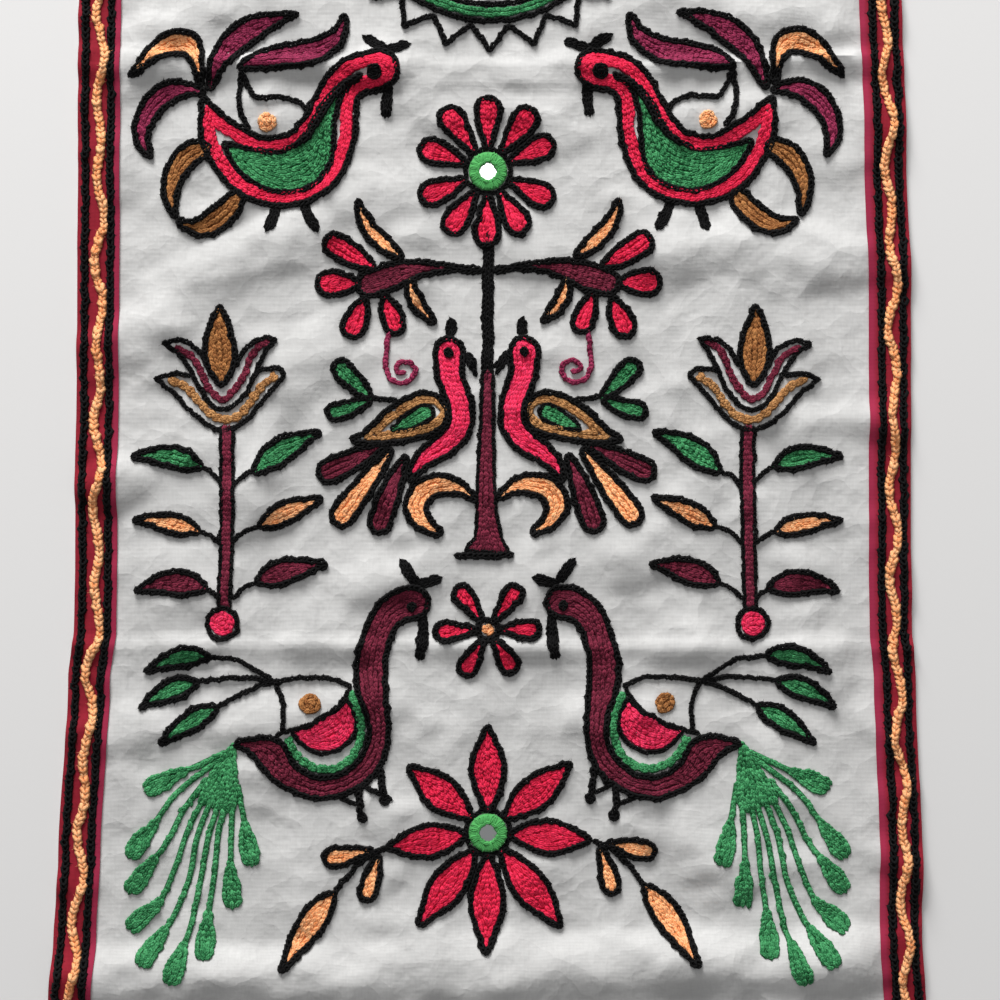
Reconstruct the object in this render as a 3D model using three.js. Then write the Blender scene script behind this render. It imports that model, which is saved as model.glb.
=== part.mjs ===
// Embroidered cotton cloth, laid face up on a flat surface: a ground panel in its soft folds,
// a crimson band sewn along each side, and two round mirrors held down by rings of thread.
// Millimetres, +Z up. The origin is at the middle of the cloth, on the surface that it lies on.
// +Y runs to the upper end of the design, and +X to its right.
import * as THREE from 'three';

// Driving dimensions
const LENGTH = 524;
const CLOTH_THICKNESS = 1.2;
const BAND_WIDTH = 21;
const BAND_THICKNESS = 1.0;
const SEWN_GAP = 0.3;
const MIRROR_RADIUS = 6.5;
const MIRROR_THICKNESS = 1.2;
const MIRROR_BEVEL = 0.3;
const MIRROR_ROUND_STEPS = 32;
const RING_OUTER_RADIUS = 10;
const RING_INNER_RADIUS = 4.4;
const RING_HEIGHT = 3.4;
const RING_LEG_RADIUS = MIRROR_RADIUS + SEWN_GAP;
const RING_ROUND_STEPS = 32;

// How fine the sheet's grid is
const BAND_COLUMNS = 2;
const PANEL_COLUMNS = 28;
const OPEN_ROW_STEP = 11;
const CREASE_ROW_STEP = 4;

// Where the two side edges of the laid cloth run. The cloth spreads a little towards its lower end.
const SIDE_EDGES = [
  { y: 262, left: -204.0, right: 206.0 },
  { y: 180, left: -204.5, right: 208.5 },
  { y: 100, left: -205.0, right: 211.0 },
  { y: -30, left: -206.0, right: 211.0 },
  { y: -65, left: -206.5, right: 211.5 },
  { y: -90, left: -209.5, right: 213.5 },
  { y: -180, left: -214.5, right: 216.5 },
  { y: -218, left: -216.5, right: 216.5 },
  { y: -262, left: -219.0, right: 219.0 },
];

// The two cut ends draw in by this much at their corners, and the rows near them follow.
const END_BOW = 2;
const END_BOW_REACH = 50;

// Where the cloth stands off the surface. Each fold runs from one point to another, and lifts the cloth
// by its rise along that line, over its half width on either side. Pressed creases get a finer grid.
const PRESSED_CREASES = [
  { name: 'upper crease', from: [-240, 216], to: [240, 217], half: 10, rise: 3.6 },
  { name: 'lower crease', from: [-240, -74], to: [240, -76], half: 9, rise: 2.4 },
];
const SOFT_SWELLS = [
  { name: 'upper left roll', from: [-240, 240], to: [-110, 243], half: 20, rise: 2.6 },
  { name: 'upper right roll', from: [100, 246], to: [240, 238], half: 18, rise: 2.0 },
  { name: 'lower left roll', from: [-240, -238], to: [-25, -239], half: 23, rise: 7.5 },
  { name: 'lower right roll', from: [20, -236], to: [185, -230], half: 25, rise: 8.0 },
  { name: 'left shoulder', from: [-185, 82], to: [-78, 146], half: 24, rise: 4.0 },
  { name: 'left waist', from: [-128, -34], to: [-90, 70], half: 18, rise: 2.6 },
  { name: 'left elbow', from: [-190, 5], to: [-120, 40], half: 18, rise: 2.4 },
  { name: 'right shoulder', from: [95, 128], to: [200, 120], half: 26, rise: 3.6 },
  { name: 'right waist', from: [70, -30], to: [150, 60], half: 18, rise: 2.4 },
  { name: 'right edge pinch', from: [170, 40], to: [215, 36], half: 14, rise: 2.6 },
  { name: 'middle', from: [-60, -42], to: [70, -30], half: 20, rise: 2.6 },
  { name: 'left hip', from: [-200, -120], to: [-60, -104], half: 20, rise: 2.6 },
  { name: 'right hip', from: [50, -112], to: [120, -190], half: 20, rise: 3.0 },
  { name: 'right skirt', from: [150, -150], to: [215, -186], half: 20, rise: 2.8 },
];
const FOLDS = [...PRESSED_CREASES, ...SOFT_SWELLS];
const FOLD_END_FADE = 40;

// The stitching round a mirror holds the cloth flat within one radius, fading out by another.
const FLAT_RADIUS = 16;
const FLAT_FADE_RADIUS = 34;
const MIRRORS = [
  { name: 'upper', x: 0, y: 164 },
  { name: 'lower', x: 0, y: -166 },
];

const MATERIALS = {
  cotton: new THREE.MeshStandardMaterial({ color: 0xcfccc6, roughness: 0.92, metalness: 0 }),
  crimson: new THREE.MeshStandardMaterial({ color: 0x8e1f38, roughness: 0.9, metalness: 0 }),
  mirror: new THREE.MeshStandardMaterial({ color: 0xd8dcd8, roughness: 0.06, metalness: 1 }),
  thread: new THREE.MeshStandardMaterial({ color: 0x3f9a4c, roughness: 0.75, metalness: 0 }),
};

// An S-shaped ramp from 0 to 1.
function ease(share) {
  const t = Math.min(1, Math.max(0, share));
  return t * t * (3 - 2 * t);
}

// One column of the side edge table at a given y, eased between its rows.
function edgeAt(y, column) {
  const last = SIDE_EDGES.length - 1;
  const below = SIDE_EDGES.findIndex((row) => row.y <= y);
  const lower = Math.max(1, below < 0 ? last : below);
  const a = SIDE_EDGES[lower - 1];
  const b = SIDE_EDGES[lower];
  return a[column] + (b[column] - a[column]) * ease((a.y - y) / (a.y - b.y));
}

// How far one fold lifts the cloth at a point.
function foldLift(fold, x, y) {
  const start = new THREE.Vector2(...fold.from);
  const along = new THREE.Vector2(...fold.to).sub(start);
  const length = along.length();
  along.divideScalar(length);
  const away = new THREE.Vector2(x, y).sub(start);
  const run = away.dot(along);
  const side = Math.abs(away.cross(along));
  if (side >= fold.half) return 0;
  const comesIn = ease(1 + run / FOLD_END_FADE);
  const goesOut = ease(1 + (length - run) / FOLD_END_FADE);
  const across = Math.cos((Math.PI / 2) * (side / fold.half));
  return fold.rise * comesIn * goesOut * across * across;
}

// 0 on the flat ground round a mirror, 1 away from it.
function freedom(x, y) {
  const nearest = Math.min(...MIRRORS.map((m) => Math.hypot(x - m.x, y - m.y)));
  return ease((nearest - FLAT_RADIUS) / (FLAT_FADE_RADIUS - FLAT_RADIUS));
}

// Height of the cloth's underside above the surface that it lies on.
function undersideHeight(x, y) {
  const lift = FOLDS.reduce((sum, fold) => sum + foldLift(fold, x, y), 0);
  return lift * freedom(x, y);
}

// The y of every grid row, closer together over the pressed creases.
function gridRows() {
  const bottomEdge = -LENGTH / 2;
  const nearCrease = (y) => PRESSED_CREASES.some((c) => Math.abs(y - c.from[1]) < c.half + CREASE_ROW_STEP);
  const rows = [LENGTH / 2];
  let y = rows[0];
  while (y > bottomEdge) {
    y -= nearCrease(y - CREASE_ROW_STEP) ? CREASE_ROW_STEP : OPEN_ROW_STEP;
    rows.push(Math.max(y, bottomEdge));
  }
  return rows;
}

// The x of every grid column in one row: the left band's, the open panel's, then the right band's.
function gridColumns(y) {
  const left = edgeAt(y, 'left');
  const right = edgeAt(y, 'right');
  const stops = [];
  for (let i = 0; i < BAND_COLUMNS; i++) stops.push(left + (BAND_WIDTH * i) / BAND_COLUMNS);
  const open = right - left - 2 * BAND_WIDTH;
  for (let i = 0; i <= PANEL_COLUMNS; i++) stops.push(left + BAND_WIDTH + (open * i) / PANEL_COLUMNS);
  for (let i = BAND_COLUMNS - 1; i >= 0; i--) stops.push(right - (BAND_WIDTH * i) / BAND_COLUMNS);
  return stops;
}

// A row's y at a given x, drawn in towards the corners near the two cut ends.
function bowedY(x, y) {
  const halfLength = LENGTH / 2;
  const reach = x / edgeAt(-halfLength, 'right');
  const nearEnd = ease(1 - (halfLength - Math.abs(y)) / END_BOW_REACH);
  return y - Math.sign(y) * END_BOW * reach * reach * nearEnd;
}

// The grid of points on the cloth's underside.
const underside = gridRows().map((rowY) =>
  gridColumns(rowY).map((x) => {
    const y = bowedY(x, rowY);
    return new THREE.Vector3(x, y, undersideHeight(x, y));
  }),
);

// A closed sheet over a run of the grid's columns, between two heights above the underside.
function sheetGeometry(firstColumn, lastColumn, bottom, top) {
  const width = lastColumn - firstColumn + 1;
  const rows = underside.length;
  const points = [];
  for (const lift of [bottom, top]) {
    for (const row of underside) {
      for (let c = firstColumn; c <= lastColumn; c++) points.push(row[c].x, row[c].y, row[c].z + lift);
    }
  }
  const low = (r, c) => r * width + c;
  const high = (r, c) => rows * width + low(r, c);
  const faces = [];
  const quad = (a, b, c, d) => faces.push(a, b, c, a, c, d);
  for (let r = 0; r < rows - 1; r++) {
    for (let c = 0; c < width - 1; c++) {
      quad(high(r, c), high(r + 1, c), high(r + 1, c + 1), high(r, c + 1));
      faces.push(low(r, c), low(r + 1, c + 1), low(r + 1, c));
      faces.push(low(r, c), low(r, c + 1), low(r + 1, c + 1));
    }
    quad(low(r, 0), low(r + 1, 0), high(r + 1, 0), high(r, 0));
    quad(low(r + 1, width - 1), low(r, width - 1), high(r, width - 1), high(r + 1, width - 1));
  }
  for (let c = 0; c < width - 1; c++) {
    quad(low(0, c + 1), low(0, c), high(0, c), high(0, c + 1));
    quad(low(rows - 1, c), low(rows - 1, c + 1), high(rows - 1, c + 1), high(rows - 1, c));
  }
  const geometry = new THREE.BufferGeometry();
  geometry.setAttribute('position', new THREE.Float32BufferAttribute(points, 3));
  geometry.setIndex(faces);
  geometry.computeVertexNormals();
  return geometry;
}

// A profile of [radius, height] pairs turned about +Z.
function turned(profile, steps) {
  const points = profile.map(([radius, height]) => new THREE.Vector2(radius, height));
  return new THREE.LatheGeometry(points, steps).rotateX(Math.PI / 2);
}

// A glass disc with its rims eased, standing on z = 0.
function mirrorGeometry() {
  return turned(
    [
      [0, 0],
      [MIRROR_RADIUS - MIRROR_BEVEL, 0],
      [MIRROR_RADIUS, MIRROR_BEVEL],
      [MIRROR_RADIUS, MIRROR_THICKNESS - MIRROR_BEVEL],
      [MIRROR_RADIUS - MIRROR_BEVEL, MIRROR_THICKNESS],
      [0, MIRROR_THICKNESS],
    ],
    MIRROR_ROUND_STEPS,
  );
}

// A worked ring that stands round the disc and laps over its rim.
function ringGeometry() {
  const lap = MIRROR_THICKNESS + SEWN_GAP;
  const crown = (RING_OUTER_RADIUS + RING_INNER_RADIUS) / 2;
  const shoulder = lap + (RING_HEIGHT - lap) / 2;
  return turned(
    [
      [RING_LEG_RADIUS, 0],
      [RING_OUTER_RADIUS, 0],
      [RING_OUTER_RADIUS, shoulder],
      [crown, RING_HEIGHT],
      [RING_INNER_RADIUS, shoulder],
      [RING_INNER_RADIUS, lap],
      [RING_LEG_RADIUS, lap],
      [RING_LEG_RADIUS, 0],
    ],
    RING_ROUND_STEPS,
  );
}

function addPiece(group, name, geometry, material, place = new THREE.Vector3()) {
  const mesh = new THREE.Mesh(geometry, material);
  mesh.name = name;
  mesh.position.copy(place);
  group.add(mesh);
}

const cloth = new THREE.Group();
const lastColumn = underside[0].length - 1;
const bandBottom = CLOTH_THICKNESS + SEWN_GAP;
const bandTop = bandBottom + BAND_THICKNESS;

addPiece(cloth, 'ground_cloth', sheetGeometry(0, lastColumn, 0, CLOTH_THICKNESS), MATERIALS.cotton);
addPiece(cloth, 'band_left', sheetGeometry(0, BAND_COLUMNS, bandBottom, bandTop), MATERIALS.crimson);
addPiece(
  cloth,
  'band_right',
  sheetGeometry(lastColumn - BAND_COLUMNS, lastColumn, bandBottom, bandTop),
  MATERIALS.crimson,
);
for (const { name, x, y } of MIRRORS) {
  const seat = new THREE.Vector3(x, y, CLOTH_THICKNESS + SEWN_GAP);
  addPiece(cloth, `mirror_${name}`, mirrorGeometry(), MATERIALS.mirror, seat);
  addPiece(cloth, `ring_${name}`, ringGeometry(), MATERIALS.thread, seat);
}

export default cloth;
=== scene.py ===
"""Chain-stitch embroidered cotton cloth with mirror work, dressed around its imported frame.

Sizes are in millimetres on the frame's own axes: X across the cloth, Y up the design and Z out of the
embroidered face. They become metres where a mesh is made.
"""

import logging
import math
from dataclasses import dataclass, replace
from enum import Enum
from typing import Iterator

import bpy
import numpy as np
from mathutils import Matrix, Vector

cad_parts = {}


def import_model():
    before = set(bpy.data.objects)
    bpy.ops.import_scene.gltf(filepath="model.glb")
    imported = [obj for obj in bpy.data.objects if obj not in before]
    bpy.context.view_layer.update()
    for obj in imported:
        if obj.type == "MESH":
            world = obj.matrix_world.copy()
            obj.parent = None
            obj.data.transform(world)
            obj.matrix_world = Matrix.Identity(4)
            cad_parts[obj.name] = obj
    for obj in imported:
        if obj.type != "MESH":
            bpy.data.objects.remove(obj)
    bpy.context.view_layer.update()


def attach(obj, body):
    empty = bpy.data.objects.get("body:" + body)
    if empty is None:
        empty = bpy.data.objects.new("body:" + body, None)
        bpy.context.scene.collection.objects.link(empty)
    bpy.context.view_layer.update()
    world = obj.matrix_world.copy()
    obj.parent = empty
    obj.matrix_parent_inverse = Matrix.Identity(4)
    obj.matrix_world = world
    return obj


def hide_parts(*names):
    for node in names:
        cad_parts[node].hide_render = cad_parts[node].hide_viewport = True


LOG = logging.getLogger("embroidered_cloth")
MM = 0.001
BODY = "root"

Point = tuple[float, float]
Knot = tuple[float, float, float]
Rgb = tuple[float, float, float]


def linear(red: int, green: int, blue: int) -> Rgb:
    """Turn a display colour into the linear one that shaders use.

    Args:
        red: Red from 0 to 255.
        green: Green from 0 to 255.
        blue: Blue from 0 to 255.

    Returns:
        The linear colour, each part from 0 to 1.
    """
    shares = (value / 255 for value in (red, green, blue))
    return tuple(s / 12.92 if s <= 0.04045 else ((s + 0.055) / 1.055) ** 2.4 for s in shares)


def ease(share: np.ndarray) -> np.ndarray:
    """Smooth step of a share, held between 0 and 1."""
    held = np.clip(share, 0.0, 1.0)
    return held * held * (3.0 - 2.0 * held)


def smooth_through(knots: np.ndarray, step: float = 0.5) -> np.ndarray:
    """Pass a smooth curve through some knots.

    Args:
        knots: Rows of x, y and any further columns, which are carried along.
        step: Distance between the points, in mm.

    Returns:
        The curve's points, with the knots' columns.
    """
    rows = np.asarray(knots, float)
    ends = np.vstack([2 * rows[0] - rows[1], rows, 2 * rows[-1] - rows[-2]])
    spans = []
    for before, first, last, after in zip(ends, ends[1:], ends[2:], ends[3:]):
        count = max(2, int(np.hypot(*(last - first)[:2]) / step))
        t = np.linspace(0.0, 1.0, count, endpoint=False)[:, None]
        bend = 2 * before - 5 * first + 4 * last - after
        twist = 3 * first - before - 3 * last + after
        spans.append(0.5 * (2 * first + (last - before) * t + bend * t**2 + twist * t**3))
    return np.vstack([*spans, rows[-1:]])


def run_along(path: np.ndarray) -> np.ndarray:
    """Distance along a path at each of its points."""
    return np.concatenate(([0.0], np.cumsum(np.hypot(*np.diff(path[:, :2], axis=0).T))))


def left_of(path: np.ndarray) -> np.ndarray:
    """Unit vectors to the left of a path at each of its points."""
    way = np.gradient(path[:, :2], axis=0)
    way /= np.maximum(np.hypot(*way.T), 1e-9)[:, None]
    return np.column_stack([-way[:, 1], way[:, 0]])


def runs_of(kept: np.ndarray) -> Iterator[np.ndarray]:
    """Stretches of a path that are kept.

    Args:
        kept: Whether each point of the path is kept.

    Yields:
        The places of the points in each stretch of three or more.
    """
    places = np.flatnonzero(kept)
    for part in np.split(places, np.flatnonzero(np.diff(places) > 1) + 1):
        if len(part) > 2:
            yield part


def circle(centre: Point, radius: float, start: float = 0.0, end: float = 360.0) -> np.ndarray:
    """Points on an arc.

    Args:
        centre: Middle of the circle.
        radius: Its radius.
        start: First angle in degrees, from +X towards +Y.
        end: Last angle in degrees.

    Returns:
        The points, in order.
    """
    count = max(8, int(abs(end - start) * radius * math.pi / 180))
    angles = np.radians(np.linspace(start, end, count))
    return np.column_stack([centre[0] + radius * np.cos(angles), centre[1] + radius * np.sin(angles)])


class Side(Enum):
    """A side of the cloth's middle line."""

    LEFT = -1
    RIGHT = 1


@dataclass(frozen=True)
class Fold:
    """A soft ridge in the laid cloth, along a straight line."""

    start: Point
    end: Point
    half: float
    rise: float
    fade: float = 40.0

    def lift(self, x: np.ndarray, y: np.ndarray) -> np.ndarray:
        """Height that the fold adds at some points.

        Args:
            x: Places across the cloth.
            y: Places along it.

        Returns:
            The heights.
        """
        length = math.dist(self.start, self.end)
        way_x = (self.end[0] - self.start[0]) / length
        way_y = (self.end[1] - self.start[1]) / length
        run = (x - self.start[0]) * way_x + (y - self.start[1]) * way_y
        side = np.abs((y - self.start[1]) * way_x - (x - self.start[0]) * way_y)
        dies_out = ease(1 + run / self.fade) * ease(1 + (length - run) / self.fade)
        crown = np.cos(0.5 * math.pi * np.minimum(side / self.half, 1.0)) ** 2
        return self.rise * dies_out * crown


MAIN_FOLDS = (
    Fold((-240, 216), (240, 217), 10, 3.6),
    Fold((-240, -74), (240, -76), 9, 2.4),
    Fold((-240, 240), (-110, 243), 20, 2.6),
    Fold((100, 246), (240, 238), 18, 2.0),
    Fold((-240, -238), (-25, -239), 23, 7.5),
    Fold((20, -236), (185, -230), 25, 8.0),
    Fold((-185, 82), (-78, 146), 24, 4.0),
    Fold((-128, -34), (-90, 70), 18, 2.6),
    Fold((-190, 5), (-120, 40), 18, 2.4),
    Fold((95, 128), (200, 120), 26, 3.6),
    Fold((70, -30), (150, 60), 18, 2.4),
    Fold((170, 40), (215, 36), 14, 2.6),
    Fold((-60, -42), (70, -30), 20, 2.6),
    Fold((-200, -120), (-60, -104), 20, 2.6),
    Fold((50, -112), (120, -190), 20, 3.0),
    Fold((150, -150), (215, -186), 20, 2.8),
)

SMALL_CREASES = (
    Fold((-30, 206), (-42, 180), 4, 1.0, 8),
    Fold((30, 190), (62, 176), 5, 0.9, 12),
    Fold((-205, 224), (-90, 218), 4.5, 1.8, 20),
    Fold((-75, 209), (70, 208), 4.5, 1.8, 15),
    Fold((90, 217), (205, 223), 4.5, 1.8, 20),
    Fold((-22, 224), (-12, 206), 4.0, 0.9, 8),
    Fold((-205, -71), (205, -72.5), 4.5, 1.2, 30),
    Fold((150, 92), (164, 58), 5, 1.0, 12),
    Fold((-150, 108), (-96, 118), 5, 0.9, 12),
    Fold((-40, -178), (-66, -214), 6, 1.0, 12),
    Fold((36, -206), (74, -222), 6, 1.2, 12),
    Fold((70, 150), (128, 128), 5, 0.8, 14),
    Fold((-70, 30), (-92, 4), 5, 0.8, 12),
)

SIDE_EDGES = (
    (262, -204, 206),
    (180, -204.5, 208.5),
    (100, -205, 211),
    (-30, -206, 211),
    (-65, -206.5, 211.5),
    (-90, -209.5, 213.5),
    (-180, -214.5, 216.5),
    (-218, -216.5, 216.5),
    (-262, -219, 219),
)

MIRROR_CENTRES: tuple[Point, Point] = ((0.0, 164.0), (0.0, -166.0))


@dataclass
class Drape:
    """The way that the cloth lies: its outline, its folds and its small wrinkles."""

    length: float = 524.0
    thickness: float = 1.2
    end_bow: float = 2.0
    end_bow_reach: float = 50.0
    flat_radius: float = 16.0
    flat_fade_radius: float = 34.0
    wave_count: int = 54
    wave_slope: float = 0.046
    wave_lengths: tuple[float, float] = (13.0, 80.0)
    rest_softness: float = 0.5
    seed: int = 11

    def __post_init__(self) -> None:
        """Draw the directions, lengths and phases of the small wrinkles."""
        draw = np.random.default_rng(self.seed)
        angles = draw.uniform(0.0, math.pi, self.wave_count)
        low, high = np.log(self.wave_lengths)
        lengths = np.exp(draw.uniform(low, high, self.wave_count))
        self.wave_x = 2 * math.pi / lengths * np.cos(angles)
        self.wave_y = 2 * math.pi / lengths * np.sin(angles)
        self.wave_phase = draw.uniform(0.0, 2 * math.pi, self.wave_count)
        self.wave_rise = self.wave_slope * lengths / (2 * math.pi)

    def edge(self, y: np.ndarray, side: Side) -> np.ndarray:
        """Place of a side edge.

        Args:
            y: Places along the cloth.
            side: Which edge.

        Returns:
            The edge's x at each place.
        """
        table = np.asarray(SIDE_EDGES[::-1], float)
        column = 1 if side is Side.LEFT else 2
        row = np.clip(np.searchsorted(table[:, 0], y) - 1, 0, len(table) - 2)
        low, high = table[row], table[row + 1]
        share = ease((y - low[..., 0]) / (high[..., 0] - low[..., 0]))
        return low[..., column] + share * (high[..., column] - low[..., column])

    def bowed(self, x: np.ndarray, y: np.ndarray) -> np.ndarray:
        """Pull the ends of the cloth in a little towards its corners.

        Args:
            x: Places across the cloth.
            y: Places along it, before the bow.

        Returns:
            Places along the cloth, with the bow.
        """
        half_length = self.length / 2
        near_end = ease(1 - (half_length - np.abs(y)) / self.end_bow_reach)
        return y - np.sign(y) * self.end_bow * (x / SIDE_EDGES[-1][2]) ** 2 * near_end

    def underside(self, x: np.ndarray, y: np.ndarray) -> np.ndarray:
        """Height of the cloth's lower face.

        Args:
            x: Places across the cloth.
            y: Places along it.

        Returns:
            The heights above the surface that it lies on.
        """
        folds = sum(fold.lift(x, y) for fold in MAIN_FOLDS + SMALL_CREASES)
        wrinkles = np.zeros_like(folds)
        for way_x, way_y, phase, rise in zip(self.wave_x, self.wave_y, self.wave_phase, self.wave_rise):
            wrinkles += rise * np.sin(way_x * x + way_y * y + phase)
        nearest = np.min([np.hypot(x - cx, y - cy) for cx, cy in MIRROR_CENTRES], axis=0)
        free = ease((nearest - self.flat_radius) / (self.flat_fade_radius - self.flat_radius))
        height = (folds + wrinkles) * free
        return 0.5 * (height + np.sqrt(height**2 + (self.rest_softness * free) ** 2))

    def top(self, x: np.ndarray, y: np.ndarray) -> np.ndarray:
        """Height of the cloth's embroidered face at some places."""
        return self.underside(x, y) + self.thickness


class Yarn(Enum):
    """The yarns, by the names of their materials."""

    BLACK = "black_yarn"
    CRIMSON = "crimson_yarn"
    ROSE = "rose_yarn"
    WINE = "wine_yarn"
    PLUM = "plum_yarn"
    GREEN = "green_yarn"
    ORANGE = "orange_yarn"
    OCHRE = "ochre_yarn"
    TAN = "tan_yarn"
    RING = "ring_yarn"

    @property
    def slot(self) -> str:
        """The material slot, which a second dye lot shares with the first."""
        second_lots = {Yarn.ROSE: Yarn.CRIMSON, Yarn.PLUM: Yarn.WINE, Yarn.TAN: Yarn.OCHRE}
        return second_lots.get(self, self).value

    @property
    def spin(self) -> "Spin":
        """How it is spun."""
        return HAIRY if self is Yarn.BLACK else PLUMP


@dataclass(frozen=True)
class Spin:
    """How a yarn is spun: the facets round it, its loose fibres a link and its radius for a row 1 mm wide."""

    sides: int
    fibres: int
    share: float


HAIRY = Spin(3, 6, 0.25)
PLUMP = Spin(4, 2, 0.3)


@dataclass(frozen=True)
class YarnFinish:
    """A wool yarn: a painted shade colour and a painted highlight colour, mixed at random over its fibres,
    and its soft sheen.
    """

    hollow: Rgb
    raised: Rgb
    sheen: float


# Each yarn's darker colour is painted shade and its lighter colour is a painted highlight, both copies of the
# yarn's own dye.
YARN_FINISHES = {
    Yarn.BLACK: YarnFinish(linear(4, 4, 4), linear(19, 18, 19), 0.02),
    Yarn.CRIMSON: YarnFinish(linear(188, 16, 50), linear(243, 52, 90), 0.1),
    Yarn.ROSE: YarnFinish(linear(204, 22, 64), linear(247, 68, 110), 0.1),
    Yarn.WINE: YarnFinish(linear(66, 12, 29), linear(132, 44, 66), 0.1),
    Yarn.PLUM: YarnFinish(linear(94, 16, 46), linear(164, 56, 92), 0.1),
    Yarn.GREEN: YarnFinish(linear(8, 80, 40), linear(84, 168, 110), 0.1),
    Yarn.ORANGE: YarnFinish(linear(234, 140, 80), linear(254, 198, 146), 0.08),
    Yarn.OCHRE: YarnFinish(linear(112, 62, 28), linear(184, 128, 76), 0.1),
    Yarn.TAN: YarnFinish(linear(132, 84, 44), linear(204, 152, 98), 0.1),
}


@dataclass(frozen=True)
class Stitch:
    """Size of a chain stitch: the row's width and how far apart its links start."""

    width: float
    pitch: float


OUTLINE = Stitch(4.0, 2.5)
FILLING = Stitch(2.9, 2.5)
THIN = Stitch(2.6, 2.1)
FILL_SPACING = 2.1
OUTLINE_LIFT = 0.5


def row_stitch(width: float) -> Stitch:
    """A stitch for a single row of that width."""
    return Stitch(width, min(max(0.62 * width, 2.0), 2.7))


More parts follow.
